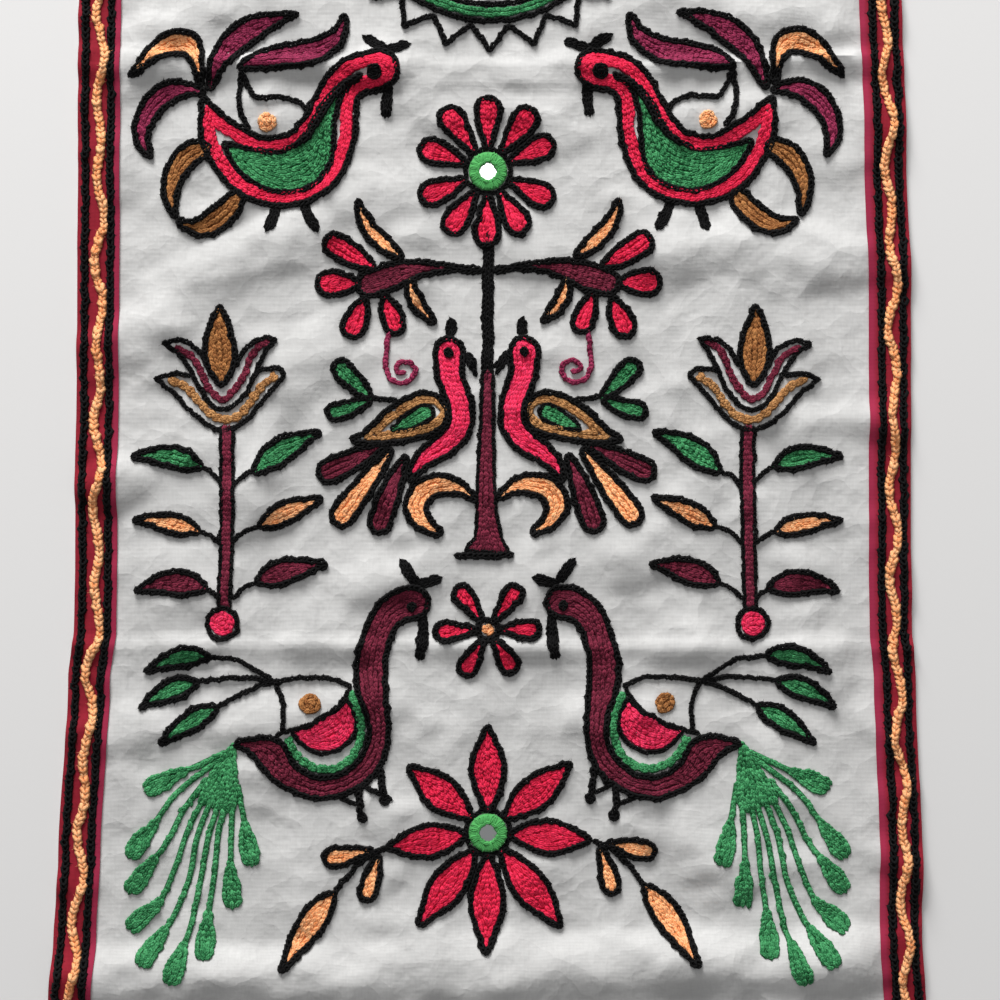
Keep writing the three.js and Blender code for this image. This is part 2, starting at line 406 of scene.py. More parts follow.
class Needlework:
    """Chain-stitched rows on the cloth, gathered by yarn and made into one mesh for each."""

    LOOP_STEPS = 6
    MAT_STEP = 5
    MAT_COLUMNS = 7
    MAT_HEIGHT = 0.5
    YARN_FLATNESS = 0.75
    HAND_SLIP = 0.2
    HAND_TURN = 0.2
    HAND_LIFT = 0.25
    HAND_WIDTHS = (0.86, 1.14)
    SHORTEST_LINK = 0.3
    LOOP_REACH = 1.34
    LOOP_BACK = 0.3
    LOOP_ARCH = 0.35
    FIBRE_RADIUS = 0.085
    FIBRE_LENGTHS = (0.5, 2.0)

    def __init__(self, name: str, drape: Drape, seed: int) -> None:
        """Start with no rows.

        Args:
            name: Name that the pieces begin with.
            drape: The cloth that is sewn.
            seed: Seed of the hand's small slips.
        """
        self.name = name
        self.drape = drape
        self.draw = np.random.default_rng(seed)
        self.links: dict[Yarn, list[np.ndarray]] = {}
        self.mats: dict[Yarn, list[tuple[np.ndarray, float]]] = {}

    def mat(self, spine: np.ndarray, half: np.ndarray, yarn: Yarn, lift: float = 0.0) -> None:
        """Lay the close threads under a filling, which let no cloth show between its rows.

        Args:
            spine: Middle line of the filling.
            half: Half of its width at each point of that line.
            yarn: Yarn of the filling.
            lift: Height of the filling above the cloth.
        """
        kept = np.unique(np.linspace(0, len(spine) - 1, max(5, len(spine) // self.MAT_STEP)).astype(int))
        reach = left_of(spine)[kept] * np.maximum(half[kept], 0.0)[:, None]
        shares = np.linspace(-1.0, 1.0, self.MAT_COLUMNS)[:, None]
        grid = spine[kept][:, None, :] + reach[:, None, :] * shares
        self.mats.setdefault(yarn, []).append((grid, lift + self.MAT_HEIGHT))

    def mat_faces(self, yarn: Yarn, first: int) -> tuple[np.ndarray, np.ndarray]:
        """Points and faces of all the mats of a yarn.

        Args:
            yarn: The yarn.
            first: Number of the first point.

        Returns:
            The points and the faces.
        """
        points, quads = [np.empty((0, 3))], [np.empty((0, 4), int)]
        for grid, height in self.mats.get(yarn, []):
            rows, columns = grid.shape[:2]
            x, y = grid[..., 0].ravel(), grid[..., 1].ravel()
            points.append(np.column_stack([x, y, self.drape.top(x, y) + height]))
            corner = (np.arange(rows - 1)[:, None] * columns + np.arange(columns - 1)).ravel() + first
            quads.append(np.column_stack([corner, corner + columns, corner + columns + 1, corner + 1]))
            first += rows * columns
        return np.vstack(points), np.vstack(quads)

    def row(self, path: np.ndarray, yarn: Yarn, stitch: Stitch, lift: float = 0.0) -> None:
        """Sew one row along a path.

        Args:
            path: Points of the row's middle line.
            yarn: Yarn that it is sewn with.
            stitch: Size of its stitches.
            lift: Height of the row above the cloth.
        """
        run = run_along(path)
        count = max(1, round(run[-1] / stitch.pitch))
        marks = np.linspace(0.0, run[-1], count + 1)
        places = np.column_stack([np.interp(marks, run, path[:, axis]) for axis in (0, 1)])
        slips = self.draw.normal(0.0, self.HAND_SLIP, places.shape)
        if np.allclose(path[0, :2], path[-1, :2]):
            slips[-1] = slips[0]
        places += slips
        steps = np.diff(places, axis=0)
        lengths = np.maximum(np.hypot(*steps.T), self.SHORTEST_LINK)
        turns = np.arctan2(steps[:, 1], steps[:, 0]) + self.draw.normal(0.0, self.HAND_TURN, count)
        widths = stitch.width * self.draw.uniform(*self.HAND_WIDTHS, count)
        lifts = lift + self.draw.uniform(0.0, self.HAND_LIFT, count)
        links = [places[:-1, 0], places[:-1, 1], turns, lengths, widths, lifts]
        self.links.setdefault(yarn, []).append(np.column_stack(links))

    def pieces(self) -> list[bpy.types.Object]:
        """Make the mesh of each yarn's rows.

        Returns:
            The pieces, dressed and riding on the cloth.
        """
        made = []
        for yarn, rows in self.links.items():
            piece = self.loops(yarn, np.vstack(rows))
            dress(piece, yarn_material(yarn))
            made.append(settle(piece, yarn.slot))
        return made

    def loops(self, yarn: Yarn, links: np.ndarray) -> bpy.types.Object:
        """Make closed loops of yarn, each over the end of the one before, with loose fibres.

        Args:
            yarn: The yarn.
            links: A row for each link: x, y, turn, length, width and lift.

        Returns:
            The piece.
        """
        x, y, turn, length, width, lift = (column[:, None] for column in links.T)
        steps, sides = self.LOOP_STEPS, yarn.spin.sides
        radius = yarn.spin.share * width
        angle = 2 * math.pi * np.arange(steps) / steps
        reach = 0.5 * (1 - np.cos(angle))
        along = length * (self.LOOP_REACH * reach - self.LOOP_BACK)
        across = (0.5 * width - radius) * np.sin(angle) * (0.55 + 0.45 * reach) / 0.8
        up = lift + radius * (self.YARN_FLATNESS + self.LOOP_ARCH * np.cos(angle))
        way_along = np.roll(along, -1, 1) - np.roll(along, 1, 1)
        way_across = np.roll(across, -1, 1) - np.roll(across, 1, 1)
        way_length = np.maximum(np.hypot(way_along, way_across), 1e-6)
        round_angle = 0.5 * math.pi + 2 * math.pi * np.arange(sides) / sides
        outward = (radius * np.cos(round_angle))[:, None, :]
        upward = (self.YARN_FLATNESS * radius * np.sin(round_angle))[:, None, :]
        u = along[..., None] - outward * (way_across / way_length)[..., None]
        v = across[..., None] + outward * (way_along / way_length)[..., None]
        cos, sin = np.cos(turn)[..., None], np.sin(turn)[..., None]
        px = x[..., None] + u * cos - v * sin
        py = y[..., None] + u * sin + v * cos
        pz = self.drape.top(px, py) + up[..., None] + upward
        points = np.stack([px, py, pz], axis=-1).reshape(-1, 3)
        step, side = (grid.ravel() for grid in np.mgrid[0:steps, 0:sides])
        next_step, next_side = (step + 1) % steps, (side + 1) % sides
        loop_quads = np.column_stack(
            [step * sides + side, step * sides + next_side,
             next_step * sides + next_side, next_step * sides + side]
        )
        firsts = np.arange(len(links))[:, None, None] * steps * sides
        quads = (loop_quads[None] + firsts).reshape(-1, 4)
        ply = np.stack([np.column_stack([step, step, step + 1, step + 1]) / steps,
                        np.column_stack([side, side + 1, side + 1, side]) / sides], axis=-1)
        tints = np.repeat(self.draw.uniform(0.0, 1.0, len(links)), steps * sides)
        fibres = self.fibres(points.reshape(len(links), steps * sides, 3), yarn.spin.fibres)
        mat_points, mat_quads = self.mat_faces(yarn, len(points))
        ply = np.vstack([np.tile(ply.reshape(-1, 2), (len(links), 1)), np.zeros((4 * len(mat_quads), 2))])
        # The mats take tint 0, which leans them to the painted shade colour, darker than the stitches above
        # them.
        tints = np.concatenate([tints, np.zeros(len(mat_points))])
        points, quads = np.vstack([points, mat_points]), np.vstack([quads, mat_quads])
        return mesh_piece(f"{self.name}_{yarn.value}", points, quads, ply, tints, fibres)

    def fibres(self, links: np.ndarray, each: int) -> np.ndarray:
        """Grow short loose fibres out of the links.

        Args:
            links: The points of each link.
            each: How many fibres a link has.

        Returns:
            Four points for each fibre: three round its root and one at its tip.
        """
        count = len(links) * each
        link = np.repeat(np.arange(len(links)), each)
        root = links[link, self.draw.integers(0, links.shape[1], count)]
        away = root - links.mean(axis=1)[link] + self.draw.normal(0.0, 0.5, (count, 3))
        away[:, 2] = 0.45 * np.abs(away[:, 2]) + 0.05
        away /= np.linalg.norm(away, axis=1)[:, None]
        level = np.cross(away, (0.0, 0.0, 1.0))
        level /= np.linalg.norm(level, axis=1)[:, None]
        third = np.cross(away, level)
        tip = root + away * self.draw.uniform(*self.FIBRE_LENGTHS, (count, 1))
        corners = []
        for angle in np.radians((0.0, 120.0, 240.0)):
            corners.append(root + self.FIBRE_RADIUS * (math.cos(angle) * level + math.sin(angle) * third))
        return np.stack([*corners, tip], axis=1)


def mesh_piece(
    name: str, points: np.ndarray, quads: np.ndarray, ply: np.ndarray, tints: np.ndarray, fibres: np.ndarray
) -> bpy.types.Object:
    """Join yarn loops and fibres into one piece.

    Args:
        name: Name of the piece.
        points: Points of the loops, in mm.
        quads: Their faces.
        ply: Place along and round the yarn at each corner of each face.
        tints: Random tone of the yarn at each point, from 0 to 1, which moves the wool between its painted
            shade and painted highlight colours.
        fibres: Four points for each fibre.

    Returns:
        The piece, smooth, with a "ply" UV map and a "tint" attribute.
    """
    sides = np.array([(0, 1, 3), (1, 2, 3), (2, 0, 3), (0, 2, 1)])
    spikes = (sides[None] + len(points) + 4 * np.arange(len(fibres))[:, None, None]).reshape(-1, 3)
    corners = np.concatenate([quads.ravel(), spikes.ravel()])
    starts = np.concatenate([4 * np.arange(len(quads)), 4 * len(quads) + 3 * np.arange(len(spikes))])
    places = np.vstack([points, fibres.reshape(-1, 3)]) * MM
    mesh = bpy.data.meshes.new(name)
    mesh.vertices.add(len(places))
    mesh.vertices.foreach_set("co", places.ravel())
    mesh.loops.add(len(corners))
    mesh.loops.foreach_set("vertex_index", corners.astype(np.int32))
    mesh.polygons.add(len(starts))
    mesh.polygons.foreach_set("loop_start", starts.astype(np.int32))
    mesh.update(calc_edges=True)
    mesh.polygons.foreach_set("use_smooth", np.ones(len(starts), bool))
    uv = np.vstack([ply, np.zeros((3 * len(spikes), 2))])
    mesh.uv_layers.new(name="ply").data.foreach_set("uv", uv.ravel())
    shades = np.concatenate([tints, np.repeat(0.6, 4 * len(fibres))])
    mesh.attributes.new("tint", "FLOAT", "POINT").data.foreach_set("value", shades)
    piece = bpy.data.objects.new(name, mesh)
    bpy.context.scene.collection.objects.link(piece)
    return piece


def settle(piece: bpy.types.Object, slot: str, *nodes: str) -> bpy.types.Object:
    """Fix a finished piece to the frame.

    Args:
        piece: The piece, in place.
        slot: The material slot for its finish; not used.
        nodes: Frame nodes that it stands for.

    Returns:
        The piece.
    """
    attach(piece, BODY)
    if nodes:
        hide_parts(*nodes)
    triangles = sum(len(face.vertices) - 2 for face in piece.data.polygons)
    LOG.info("%s: %d triangles", piece.name, triangles)
    return piece


class End(Enum):
    """The form of a ribbon's end."""

    POINT = "point"
    ROUND = "round"


@dataclass(frozen=True)
class Ribbon:
    """A worked shape about a spine, with rows of filling along it and an outline round it."""

    knots: tuple[Knot, ...]
    fill: Yarn | None = None
    outline: Yarn | None = Yarn.BLACK
    start: End = End.POINT
    end: End = End.POINT
    rims: tuple[float, ...] = ()
    rim: Yarn = Yarn.CRIMSON
    fill_margin: float = 2.4
    fill_overlap: float = 1.0
    border: Stitch = OUTLINE

    def mirrored(self, shift: Point) -> "Ribbon":
        """The same shape on the other side of the middle line, moved by a small shift."""
        flipped = tuple((shift[0] - x, shift[1] + y, half) for x, y, half in self.knots)
        return replace(self, knots=flipped)

    def profile(self) -> tuple[np.ndarray, np.ndarray]:
        """Spine points and half widths, with round ends drawn in.

        Returns:
            The spine and the half width at each of its points.
        """
        curve = smooth_through(np.asarray(self.knots))
        spine, half = curve[:, :2], np.maximum(curve[:, 2], 0.0)
        run = run_along(spine)
        for form, gone in ((self.start, run), (self.end, run[-1] - run)):
            if form is End.ROUND:
                radius = half[0] if gone is run else half[-1]
                left_over = 1 - np.minimum(gone / max(radius, 0.1), 1.0)
                half = half * np.sqrt(1 - left_over**2)
        return spine, half

    def loop(self, inset: float) -> np.ndarray:
        """The outline, or a line inside it.

        Args:
            inset: Distance inside the outline.

        Returns:
            A closed path, empty where the shape is too narrow for it.
        """
        spine, half = self.profile()
        wide = half - inset
        inside = np.flatnonzero(wide > 0.3) if inset else np.arange(len(spine))
        if len(inside) < 3:
            return np.empty((0, 2))
        kept = slice(inside[0], inside[-1] + 1)
        offset = left_of(spine)[kept] * np.maximum(wide[kept], 0.0)[:, None]
        path = np.vstack([spine[kept] + offset, (spine[kept] - offset)[::-1]])
        return np.vstack([path, path[:1]])

    def filling(self, spacing: float = FILL_SPACING) -> Iterator[np.ndarray]:
        """Rows of filling, from the outline inwards and last along the spine.

        Args:
            spacing: Distance between the rows.

        Yields:
            The path of each row.
        """
        spine, half = self.profile()
        left = left_of(spine)
        room = half - self.fill_margin - max(self.rims, default=0.0)
        narrow, open_gap = 0.45 * spacing, 0.5 * spacing
        gap = room.copy()
        for step in range(max(0, int(room.max() / spacing)) + 1):
            wide = room - step * spacing
            kept = wide >= narrow
            gap = np.where(kept, wide, gap)
            for part in runs_of(kept):
                for side in Side:
                    yield spine[part] + side.value * left[part] * wide[part][:, None]
        lone = np.where(room >= narrow, gap >= open_gap, room > -self.fill_overlap)
        for part in runs_of(lone):
            yield spine[part]

    def work(self, needle: Needlework) -> None:
        """Sew the filling, then any coloured rims, then the outline."""
        if self.fill:
            spine, half = self.profile()
            needle.mat(spine, half - 0.5 * self.fill_margin - max(self.rims, default=0.0), self.fill)
            for path in self.filling():
                needle.row(path, self.fill, FILLING)
        for inset in self.rims:
            path = self.loop(inset)
            if len(path):
                needle.row(path, self.rim, FILLING, 0.05)
        if self.outline:
            needle.row(self.loop(0.0), self.outline, self.border, OUTLINE_LIFT)


@dataclass(frozen=True)
class Stroke:
    """A single row along a line."""

    knots: tuple[Point, ...]
    yarn: Yarn = Yarn.BLACK
    width: float = OUTLINE.width
    sharp: bool = False
    lift: float = OUTLINE_LIFT
    swing: float = 0.0
    swing_length: float = 8.0

    def mirrored(self, shift: Point) -> "Stroke":
        """The same line on the other side of the middle line, moved by a small shift."""
        return replace(self, knots=tuple((shift[0] - x, shift[1] + y) for x, y in self.knots))

    def work(self, needle: Needlework) -> None:
        """Sew the row."""
        knots = np.asarray(self.knots, float)
        path = knots if self.sharp or len(knots) < 3 else smooth_through(knots)
        if self.swing:
            wave = self.swing * np.sin(2 * math.pi * run_along(path) / self.swing_length)
            path = path + left_of(path) * wave[:, None]
        needle.row(path, self.yarn, row_stitch(self.width), self.lift)


@dataclass(frozen=True)
class Disc:
    """A round spot of rows inside each other."""

    centre: Point
    radius: float
    fill: Yarn
    outline: Yarn | None = None
    lift: float = 0.1
    border: Stitch = OUTLINE

    def mirrored(self, shift: Point) -> "Disc":
        """The same spot on the other side of the middle line, moved by a small shift."""
        return replace(self, centre=(shift[0] - self.centre[0], shift[1] + self.centre[1]))

    def work(self, needle: Needlework) -> None:
        """Sew the rows from the rim inwards, then the outline."""
        rim = self.radius - 0.5 * FILLING.width
        turn = np.linspace(-1.0, 1.0, 9)
        spine = np.column_stack([self.centre[0] + rim * turn, np.full_like(turn, self.centre[1])])
        needle.mat(spine, rim * np.sqrt(1.0 - turn**2), self.fill, self.lift)
        for radius in np.arange(rim, 0.3, -FILL_SPACING):
            needle.row(circle(self.centre, radius), self.fill, FILLING, self.lift)
        if self.outline:
            path = circle(self.centre, self.radius + 0.5 * self.border.width - 0.4)
            needle.row(path, self.outline, self.border, OUTLINE_LIFT)


Shape = Ribbon | Stroke | Disc


def leaf(base: Point, tip: Point, belly: float, bow: float, fill: Yarn) -> Ribbon:
    """A pointed leaf with its belly near its stalk.

    Args:
        base: Point at the stalk.
        tip: Point of the leaf.
        belly: Half of its greatest width.
        bow: How far its middle bows to the left of the way from base to tip.
        fill: Yarn of its filling.

    Returns:
        The leaf.
    """
    away = np.subtract(tip, base)
    left = np.array([-away[1], away[0]]) / np.hypot(*away)
    table = ((0.0, 0.22), (0.18, 0.82), (0.38, 1.0), (0.62, 0.78), (0.82, 0.4), (1.0, 0.08))
    knots = []
    for share, width in table:
        place = np.asarray(base) + share * away + 4 * share * (1 - share) * bow * left
        knots.append((*place, width * belly))
    return Ribbon(tuple(knots), fill)


def spike(knots: tuple[Knot, ...]) -> Ribbon:
    """A thick black stroke, worked solid, for a beak, a crest or a foot.

    Args:
        knots: Its spine and half widths.

    Returns:
        The stroke.
    """
    return Ribbon(knots, Yarn.BLACK, None, End.ROUND, End.ROUND, fill_margin=1.4)


def twisted(knots: tuple[Point, ...], yarn: Yarn, width: float, swing: float) -> Iterator[Stroke]:
    """Two rows that wave across each other along a line.

    Args:
        knots: Points of the line.
        yarn: Their yarn.
        width: Width of each row.
        swing: How far they wave to each side.

    Yields:
        The rows.
    """
    for side in Side:
        yield Stroke(knots, yarn, width, lift=0.0, swing=side.value * swing, swing_length=9.5)


def petal(
    centre: Point, angle: float, base: float, reach: float, half: float, tip: End, fill: Yarn = Yarn.CRIMSON
) -> Ribbon:
    """One petal of a flower.

    Args:
        centre: Middle of the flower.
        angle: Direction of the petal in degrees.
        base: Distance of its foot from the middle.
        reach: Distance of its tip from the middle.
        half: Half of its greatest width.
        tip: Form of its tip.
        fill: Yarn of its filling.

    Returns:
        The petal.
    """
    club = ((0.0, 0.2), (0.3, 0.62), (0.62, 0.96), (0.82, 1.0), (1.0, 1.0))
    lance = ((0.0, 0.16), (0.2, 0.68), (0.42, 1.0), (0.6, 0.94), (0.82, 0.5), (1.0, 0.06))
    cos, sin = math.cos(math.radians(angle)), math.sin(math.radians(angle))
    knots = []
    for share, width in club if tip is End.ROUND else lance:
        distance = base + share * (reach - base)
        knots.append((centre[0] + distance * cos, centre[1] + distance * sin, width * half))
    return Ribbon(tuple(knots), fill, end=tip)


@dataclass
class Motif:
    """A motif of the design, sewn on both sides of the middle line or about it."""

    name: str
    seed: int
    shift: Point = (0.0, 0.0)

    def middle(self) -> Iterator[Shape]:
        """Shapes that stand on the middle line."""
        yield from ()

    def half(self) -> Iterator[Shape]:
        """Shapes of the left side, which the right side repeats."""
        yield from ()

    def sew(self, drape: Drape) -> list[bpy.types.Object]:
        """Sew the motif on the cloth.

        Args:
            drape: The cloth.

        Returns:
            A piece for each yarn.
        """
        needle = Needlework(self.name, drape, self.seed)
        for shape in self.half():
            shape.work(needle)
        for shape in self.half():
            shape.mirrored(self.shift).work(needle)
        for shape in self.middle():
            shape.work(needle)
        return needle.pieces()


@dataclass
class CrestedPeacocks(Motif):
    """The two upper peacocks, crimson round a green breast, with arched tail plumes."""

    name: str = "crested_peacocks"
    seed: int = 21
    shift: Point = (-0.5, 1.0)

    def half(self) -> Iterator[Shape]:
        """Shapes of the left bird."""
        yield Ribbon(
            ((-142, 200, 0.8), (-135.5, 184.5, 8.5), (-126.5, 173.5, 12.5), (-116, 166, 15.5),
             (-102.5, 164, 17.2), (-89.5, 168.5, 17), (-80.5, 182.5, 14), (-77.5, 193, 11.5),
             (-74, 203.5, 9.5), (-67, 211, 9.2), (-55, 214, 9.6), (-45, 213.5, 9.6)),
            end=End.ROUND, rims=(2.5, 4.5, 6.3),
        )
        yield Ribbon(
            ((-132, 178, 0.5), (-119, 168.5, 7), (-105.5, 164, 9.9), (-95.5, 165.5, 10.9),
             (-89, 170, 10.4), (-85, 177, 8.4), (-82.5, 184.5, 6), (-79.5, 195, 4),
             (-72.5, 206, 1.5), (-63.5, 211, 0.6)),
            Yarn.GREEN, fill_margin=1.9,
        )
        yield Stroke(((-63.5, 211.5), (-72.5, 206), (-79, 198.5), (-83.5, 190.5), (-89.5, 182), (-97, 176.5)),
                     lift=1.5)
        yield Disc((-53.5, 213), 6.2, Yarn.CRIMSON, lift=0.0)
        yield Disc((-56.5, 212.7), 4.4, Yarn.BLACK, lift=1.5)
        yield spike(((-49.6, 208.5, 2.6), (-50.4, 198, 3.0), (-51.6, 190, 2.6)))
        yield spike(((-62.5, 231.5, 2.2), (-57, 228.4, 3.0), (-49, 222.8, 2.6)))
        yield spike(((-53, 223.2, 2.4), (-45, 226, 2.9), (-38, 228, 2.4)))
        yield Stroke(((-123, 212.5), (-124, 196), (-119, 185.5)), width=3.4)
        yield Stroke(((-121.5, 211.5), (-116, 201), (-103.5, 201), (-94.5, 198.5), (-90, 194.5)), width=3.4)
        yield Disc((-110, 188.5), 5, Yarn.ORANGE)
        yield Ribbon(
            ((-139, 205, 1), (-135.5, 215, 3.2), (-129, 226, 5.4), (-119, 234, 5.8), (-108, 239, 3.4),
             (-100.5, 241, 1.2), (-95.5, 242.5, 0.6)),
            Yarn.PLUM,
        )
        yield Ribbon(
            ((-123.5, 215, 0.6), (-115, 218.5, 4), (-103.5, 221, 5.4), (-92, 222.5, 6), (-82, 226, 5),
             (-75, 232, 3.4), (-71, 241.5, 0.6)),
            Yarn.PLUM,
        )
        yield Ribbon(
            ((-177.5, 211, 0.5), (-171.5, 217, 2), (-164, 224, 4.3), (-155.5, 228, 5.4),
             (-148.5, 226.5, 5.2), (-145, 218.5, 2.6), (-143.5, 207, 0.8)),
            Yarn.ORANGE,
        )
        yield Ribbon(
            ((-142.5, 203.5, 0.8), (-150.5, 205, 3), (-159.5, 203, 4.8), (-167.5, 196.5, 4.9),
             (-172, 187.5, 4), (-172.5, 179.5, 3), (-168.5, 171, 0.5)),
            Yarn.PLUM,
        )
        yield Ribbon(
            ((-139.5, 176.5, 3.6), (-149.5, 172, 5.3), (-155, 165, 4.9), (-158, 156.5, 3.9),
             (-158, 148.5, 2.4), (-156, 141, 0.4)),
            Yarn.OCHRE, start=End.ROUND,
        )
        yield Ribbon(
            ((-124, 153.5, 3.4), (-128, 146.5, 4.8), (-136.5, 139, 5.4), (-144, 136, 3.9),
             (-150, 137, 2.2), (-154.5, 139, 0.8)),
            Yarn.OCHRE, start=End.ROUND,
        )
        yield spike(((-105, 150.5, 2.6), (-107.5, 140, 3.0), (-110.2, 133.5, 2.8)))
        yield spike(((-93, 150.5, 2.6), (-88.5, 140, 3.0), (-84, 133.5, 2.8)))


@dataclass
class TenPetalFlower(Motif):
    """The flower about the upper mirror."""

    name: str = "ten_petal_flower"
    seed: int = 22
    centre: Point = MIRROR_CENTRES[0]
    foot: float = 12.5
    half_width: float = 5.9
    heart: float = 11.2
    petals: tuple[Point, ...] = (
        (90, 37), (54, 38), (24, 35.5), (-24, 35.5), (-60, 35.5),
        (-91, 37), (-123, 36.5), (-158, 36), (160, 36), (125, 38),
    )

    def middle(self) -> Iterator[Shape]:
        """The petals, and the dark round at their feet."""
        for angle, reach in self.petals:
            yield petal(self.centre, angle, self.foot, reach, self.half_width, End.ROUND)
        ring = tuple(map(tuple, circle(self.centre, self.heart)))
        yield Stroke(ring, width=3.0, sharp=True)


@dataclass
class TreeOfLife(Motif):
    """The tree on the middle line, with a budding branch to each side."""

    name: str = "tree_of_life"
    seed: int = 23
    shift: Point = (0.5, 0.5)

    def middle(self) -> Iterator[Shape]:
        """The dark upper stem, the wine trunk and the foot that it stands on."""
        yield spike(((0.1, 134, 3.2), (0, 98, 3.2), (-0.4, 61, 3.2)))
        yield Ribbon(
            ((-0.2, 64, 2.6), (-0.5, 35, 3.3), (-1, 10, 4.1), (-0.5, -8, 5.0),
             (0, -18, 6.6), (-0.5, -26, 11)),
            Yarn.WINE, fill_margin=1.7, border=THIN,
        )
        yield Stroke(((-15.5, -27.5), (-0.5, -28), (12.5, -27.5)), width=4.4)

    def half(self) -> Iterator[Shape]:
        """The left branch: its bud, petals, leaves and curl."""
        yield Ribbon(
            ((-64.5, 105.8, 5.6), (-57, 108.5, 6.2), (-48, 111.5, 6.2), (-38, 114.5, 4.4),
             (-27.5, 115.8, 2.4), (-17, 115.6, 1.0), (-3, 114.5, 0.5)),
            Yarn.WINE, start=End.ROUND,
        )
        yield Ribbon(((-57, 116, 1.0), (-60.5, 118, 3.0), (-66.5, 121.5, 5.0), (-74, 126, 5.4),
                      (-80.8, 130, 5.4)), Yarn.CRIMSON, end=End.ROUND)
        yield Ribbon(((-65, 108, 1.0), (-70, 108, 4.2), (-78, 108, 6.0), (-85.2, 108.2, 6.0)),
                     Yarn.CRIMSON, end=End.ROUND)
        yield Ribbon(((-61.5, 100, 1.0), (-64, 94, 4.4), (-67, 87, 5.6), (-68.8, 81.2, 5.6)),
                     Yarn.CRIMSON, end=End.ROUND)
        yield Ribbon(((-51.5, 102, 1.0), (-49.5, 95.5, 4.0), (-47, 89, 5.0), (-45.5, 83, 5.0)),
                     Yarn.CRIMSON, end=End.ROUND)
        yield Ribbon(((-64.8, 149, 0.4), (-62.8, 142, 2.4), (-58, 134, 3.3), (-51, 127, 3.4),
                      (-43, 121, 1.0)), Yarn.ORANGE, fill_margin=2.0)
        yield Ribbon(((-39, 109, 1.2), (-37.2, 102, 2.9), (-33.5, 95.5, 2.8), (-26.8, 88.5, 0.5)),
                     Yarn.ORANGE, fill_margin=2.0)
        yield Stroke(
            ((-49.5, 83), (-50.5, 76), (-51, 67), (-48.5, 60), (-42.5, 58), (-37.5, 61), (-36.5, 66),
             (-41, 69.5), (-45.5, 67), (-44.8, 63.4), (-41.5, 64)),
            Yarn.PLUM, 3.0,
        )


@dataclass
class Parrots(Motif):
    """The two parrots that face each other across the trunk."""

    name: str = "parrots"
    seed: int = 24
    shift: Point = (-1.5, 0.5)

    def half(self) -> Iterator[Shape]:
        """Shapes of the left bird, its leaf and its arched tail."""
        yield from self.tail()
        yield Ribbon(
            ((-19.2, 80.5, 7.0), (-19.5, 73, 6.9), (-19.3, 64, 6.2), (-17, 56, 6.0), (-13.8, 46.5, 5.8),
             (-14.2, 36.5, 5.8), (-20.5, 28.5, 5.6), (-29.5, 22.5, 4.6), (-35.5, 16.5, 3.0), (-39, 9, 0.5)),
            Yarn.ROSE, start=End.ROUND,
        )
        yield Disc((-19.5, 73.5), 3.2, Yarn.BLACK, lift=1.4)
        yield spike(((-18.6, 90.5, 2.6), (-18.4, 86, 3.2), (-18.8, 81, 2.8)))
        yield spike(((-12, 73.5, 2.2), (-8.4, 69, 2.8), (-6, 61.5, 1.8)))
        yield Ribbon(
            ((-68, 30, 0.6), (-58, 32, 4.0), (-47, 37, 8.4), (-35.5, 41.5, 10.6), (-27, 44, 10.4),
             (-21, 45.6, 9.6)),
            end=End.ROUND, rims=(2.7, 4.6), rim=Yarn.TAN,
        )
        yield Ribbon(((-47.6, 35, 0.6), (-41, 38, 3.4), (-34, 42, 4.2), (-27.5, 45, 4.0)),
                     Yarn.GREEN, end=End.ROUND, fill_margin=2.0, border=Stitch(2.9, 2.0))
        yield Stroke(((-46, 50), (-53, 50.4), (-59, 51)), width=3.4)
        yield Ribbon(((-59, 51, 1.4), (-65, 57, 3.6), (-71, 63.2, 4.4), (-76, 68.5, 4.4)),
                     Yarn.GREEN, end=End.ROUND, fill_margin=2.0)
        yield Ribbon(((-59.5, 50, 1.2), (-66, 47, 3.2), (-73, 44.6, 3.8), (-80.2, 43.4, 3.8)),
                     Yarn.GREEN, end=End.ROUND, fill_margin=2.0)

    def tail(self) -> Iterator[Shape]:
        """The three tail feathers and the orange plume that curls below them."""
        yield Ribbon(((-51, 27.5, 0.8), (-60, 23.5, 3.2), (-71, 18, 5.2), (-84.2, 12.2, 5.4)),
                     Yarn.WINE, end=End.ROUND)
        yield Ribbon(((-48.5, 25, 0.8), (-55.5, 15.5, 3.2), (-64.5, 3.5, 5.0), (-76, -12, 5.6)),
                     Yarn.ORANGE, end=End.ROUND)
        yield Ribbon(((-41.5, 21.5, 0.8), (-45, 13, 3.2), (-50, 0, 5.0), (-55.6, -16, 5.4)),
                     Yarn.WINE, end=End.ROUND)
        yield Ribbon(
            ((-6, 0.5, 0.5), (-15, 6, 3.4), (-24, 7.5, 4.9), (-32, 4.5, 5.5), (-36, -2.5, 5.2),
             (-34, -9, 4.3), (-29, -14, 2.8), (-23.5, -16.5, 1.0)),
            Yarn.ORANGE,
        )


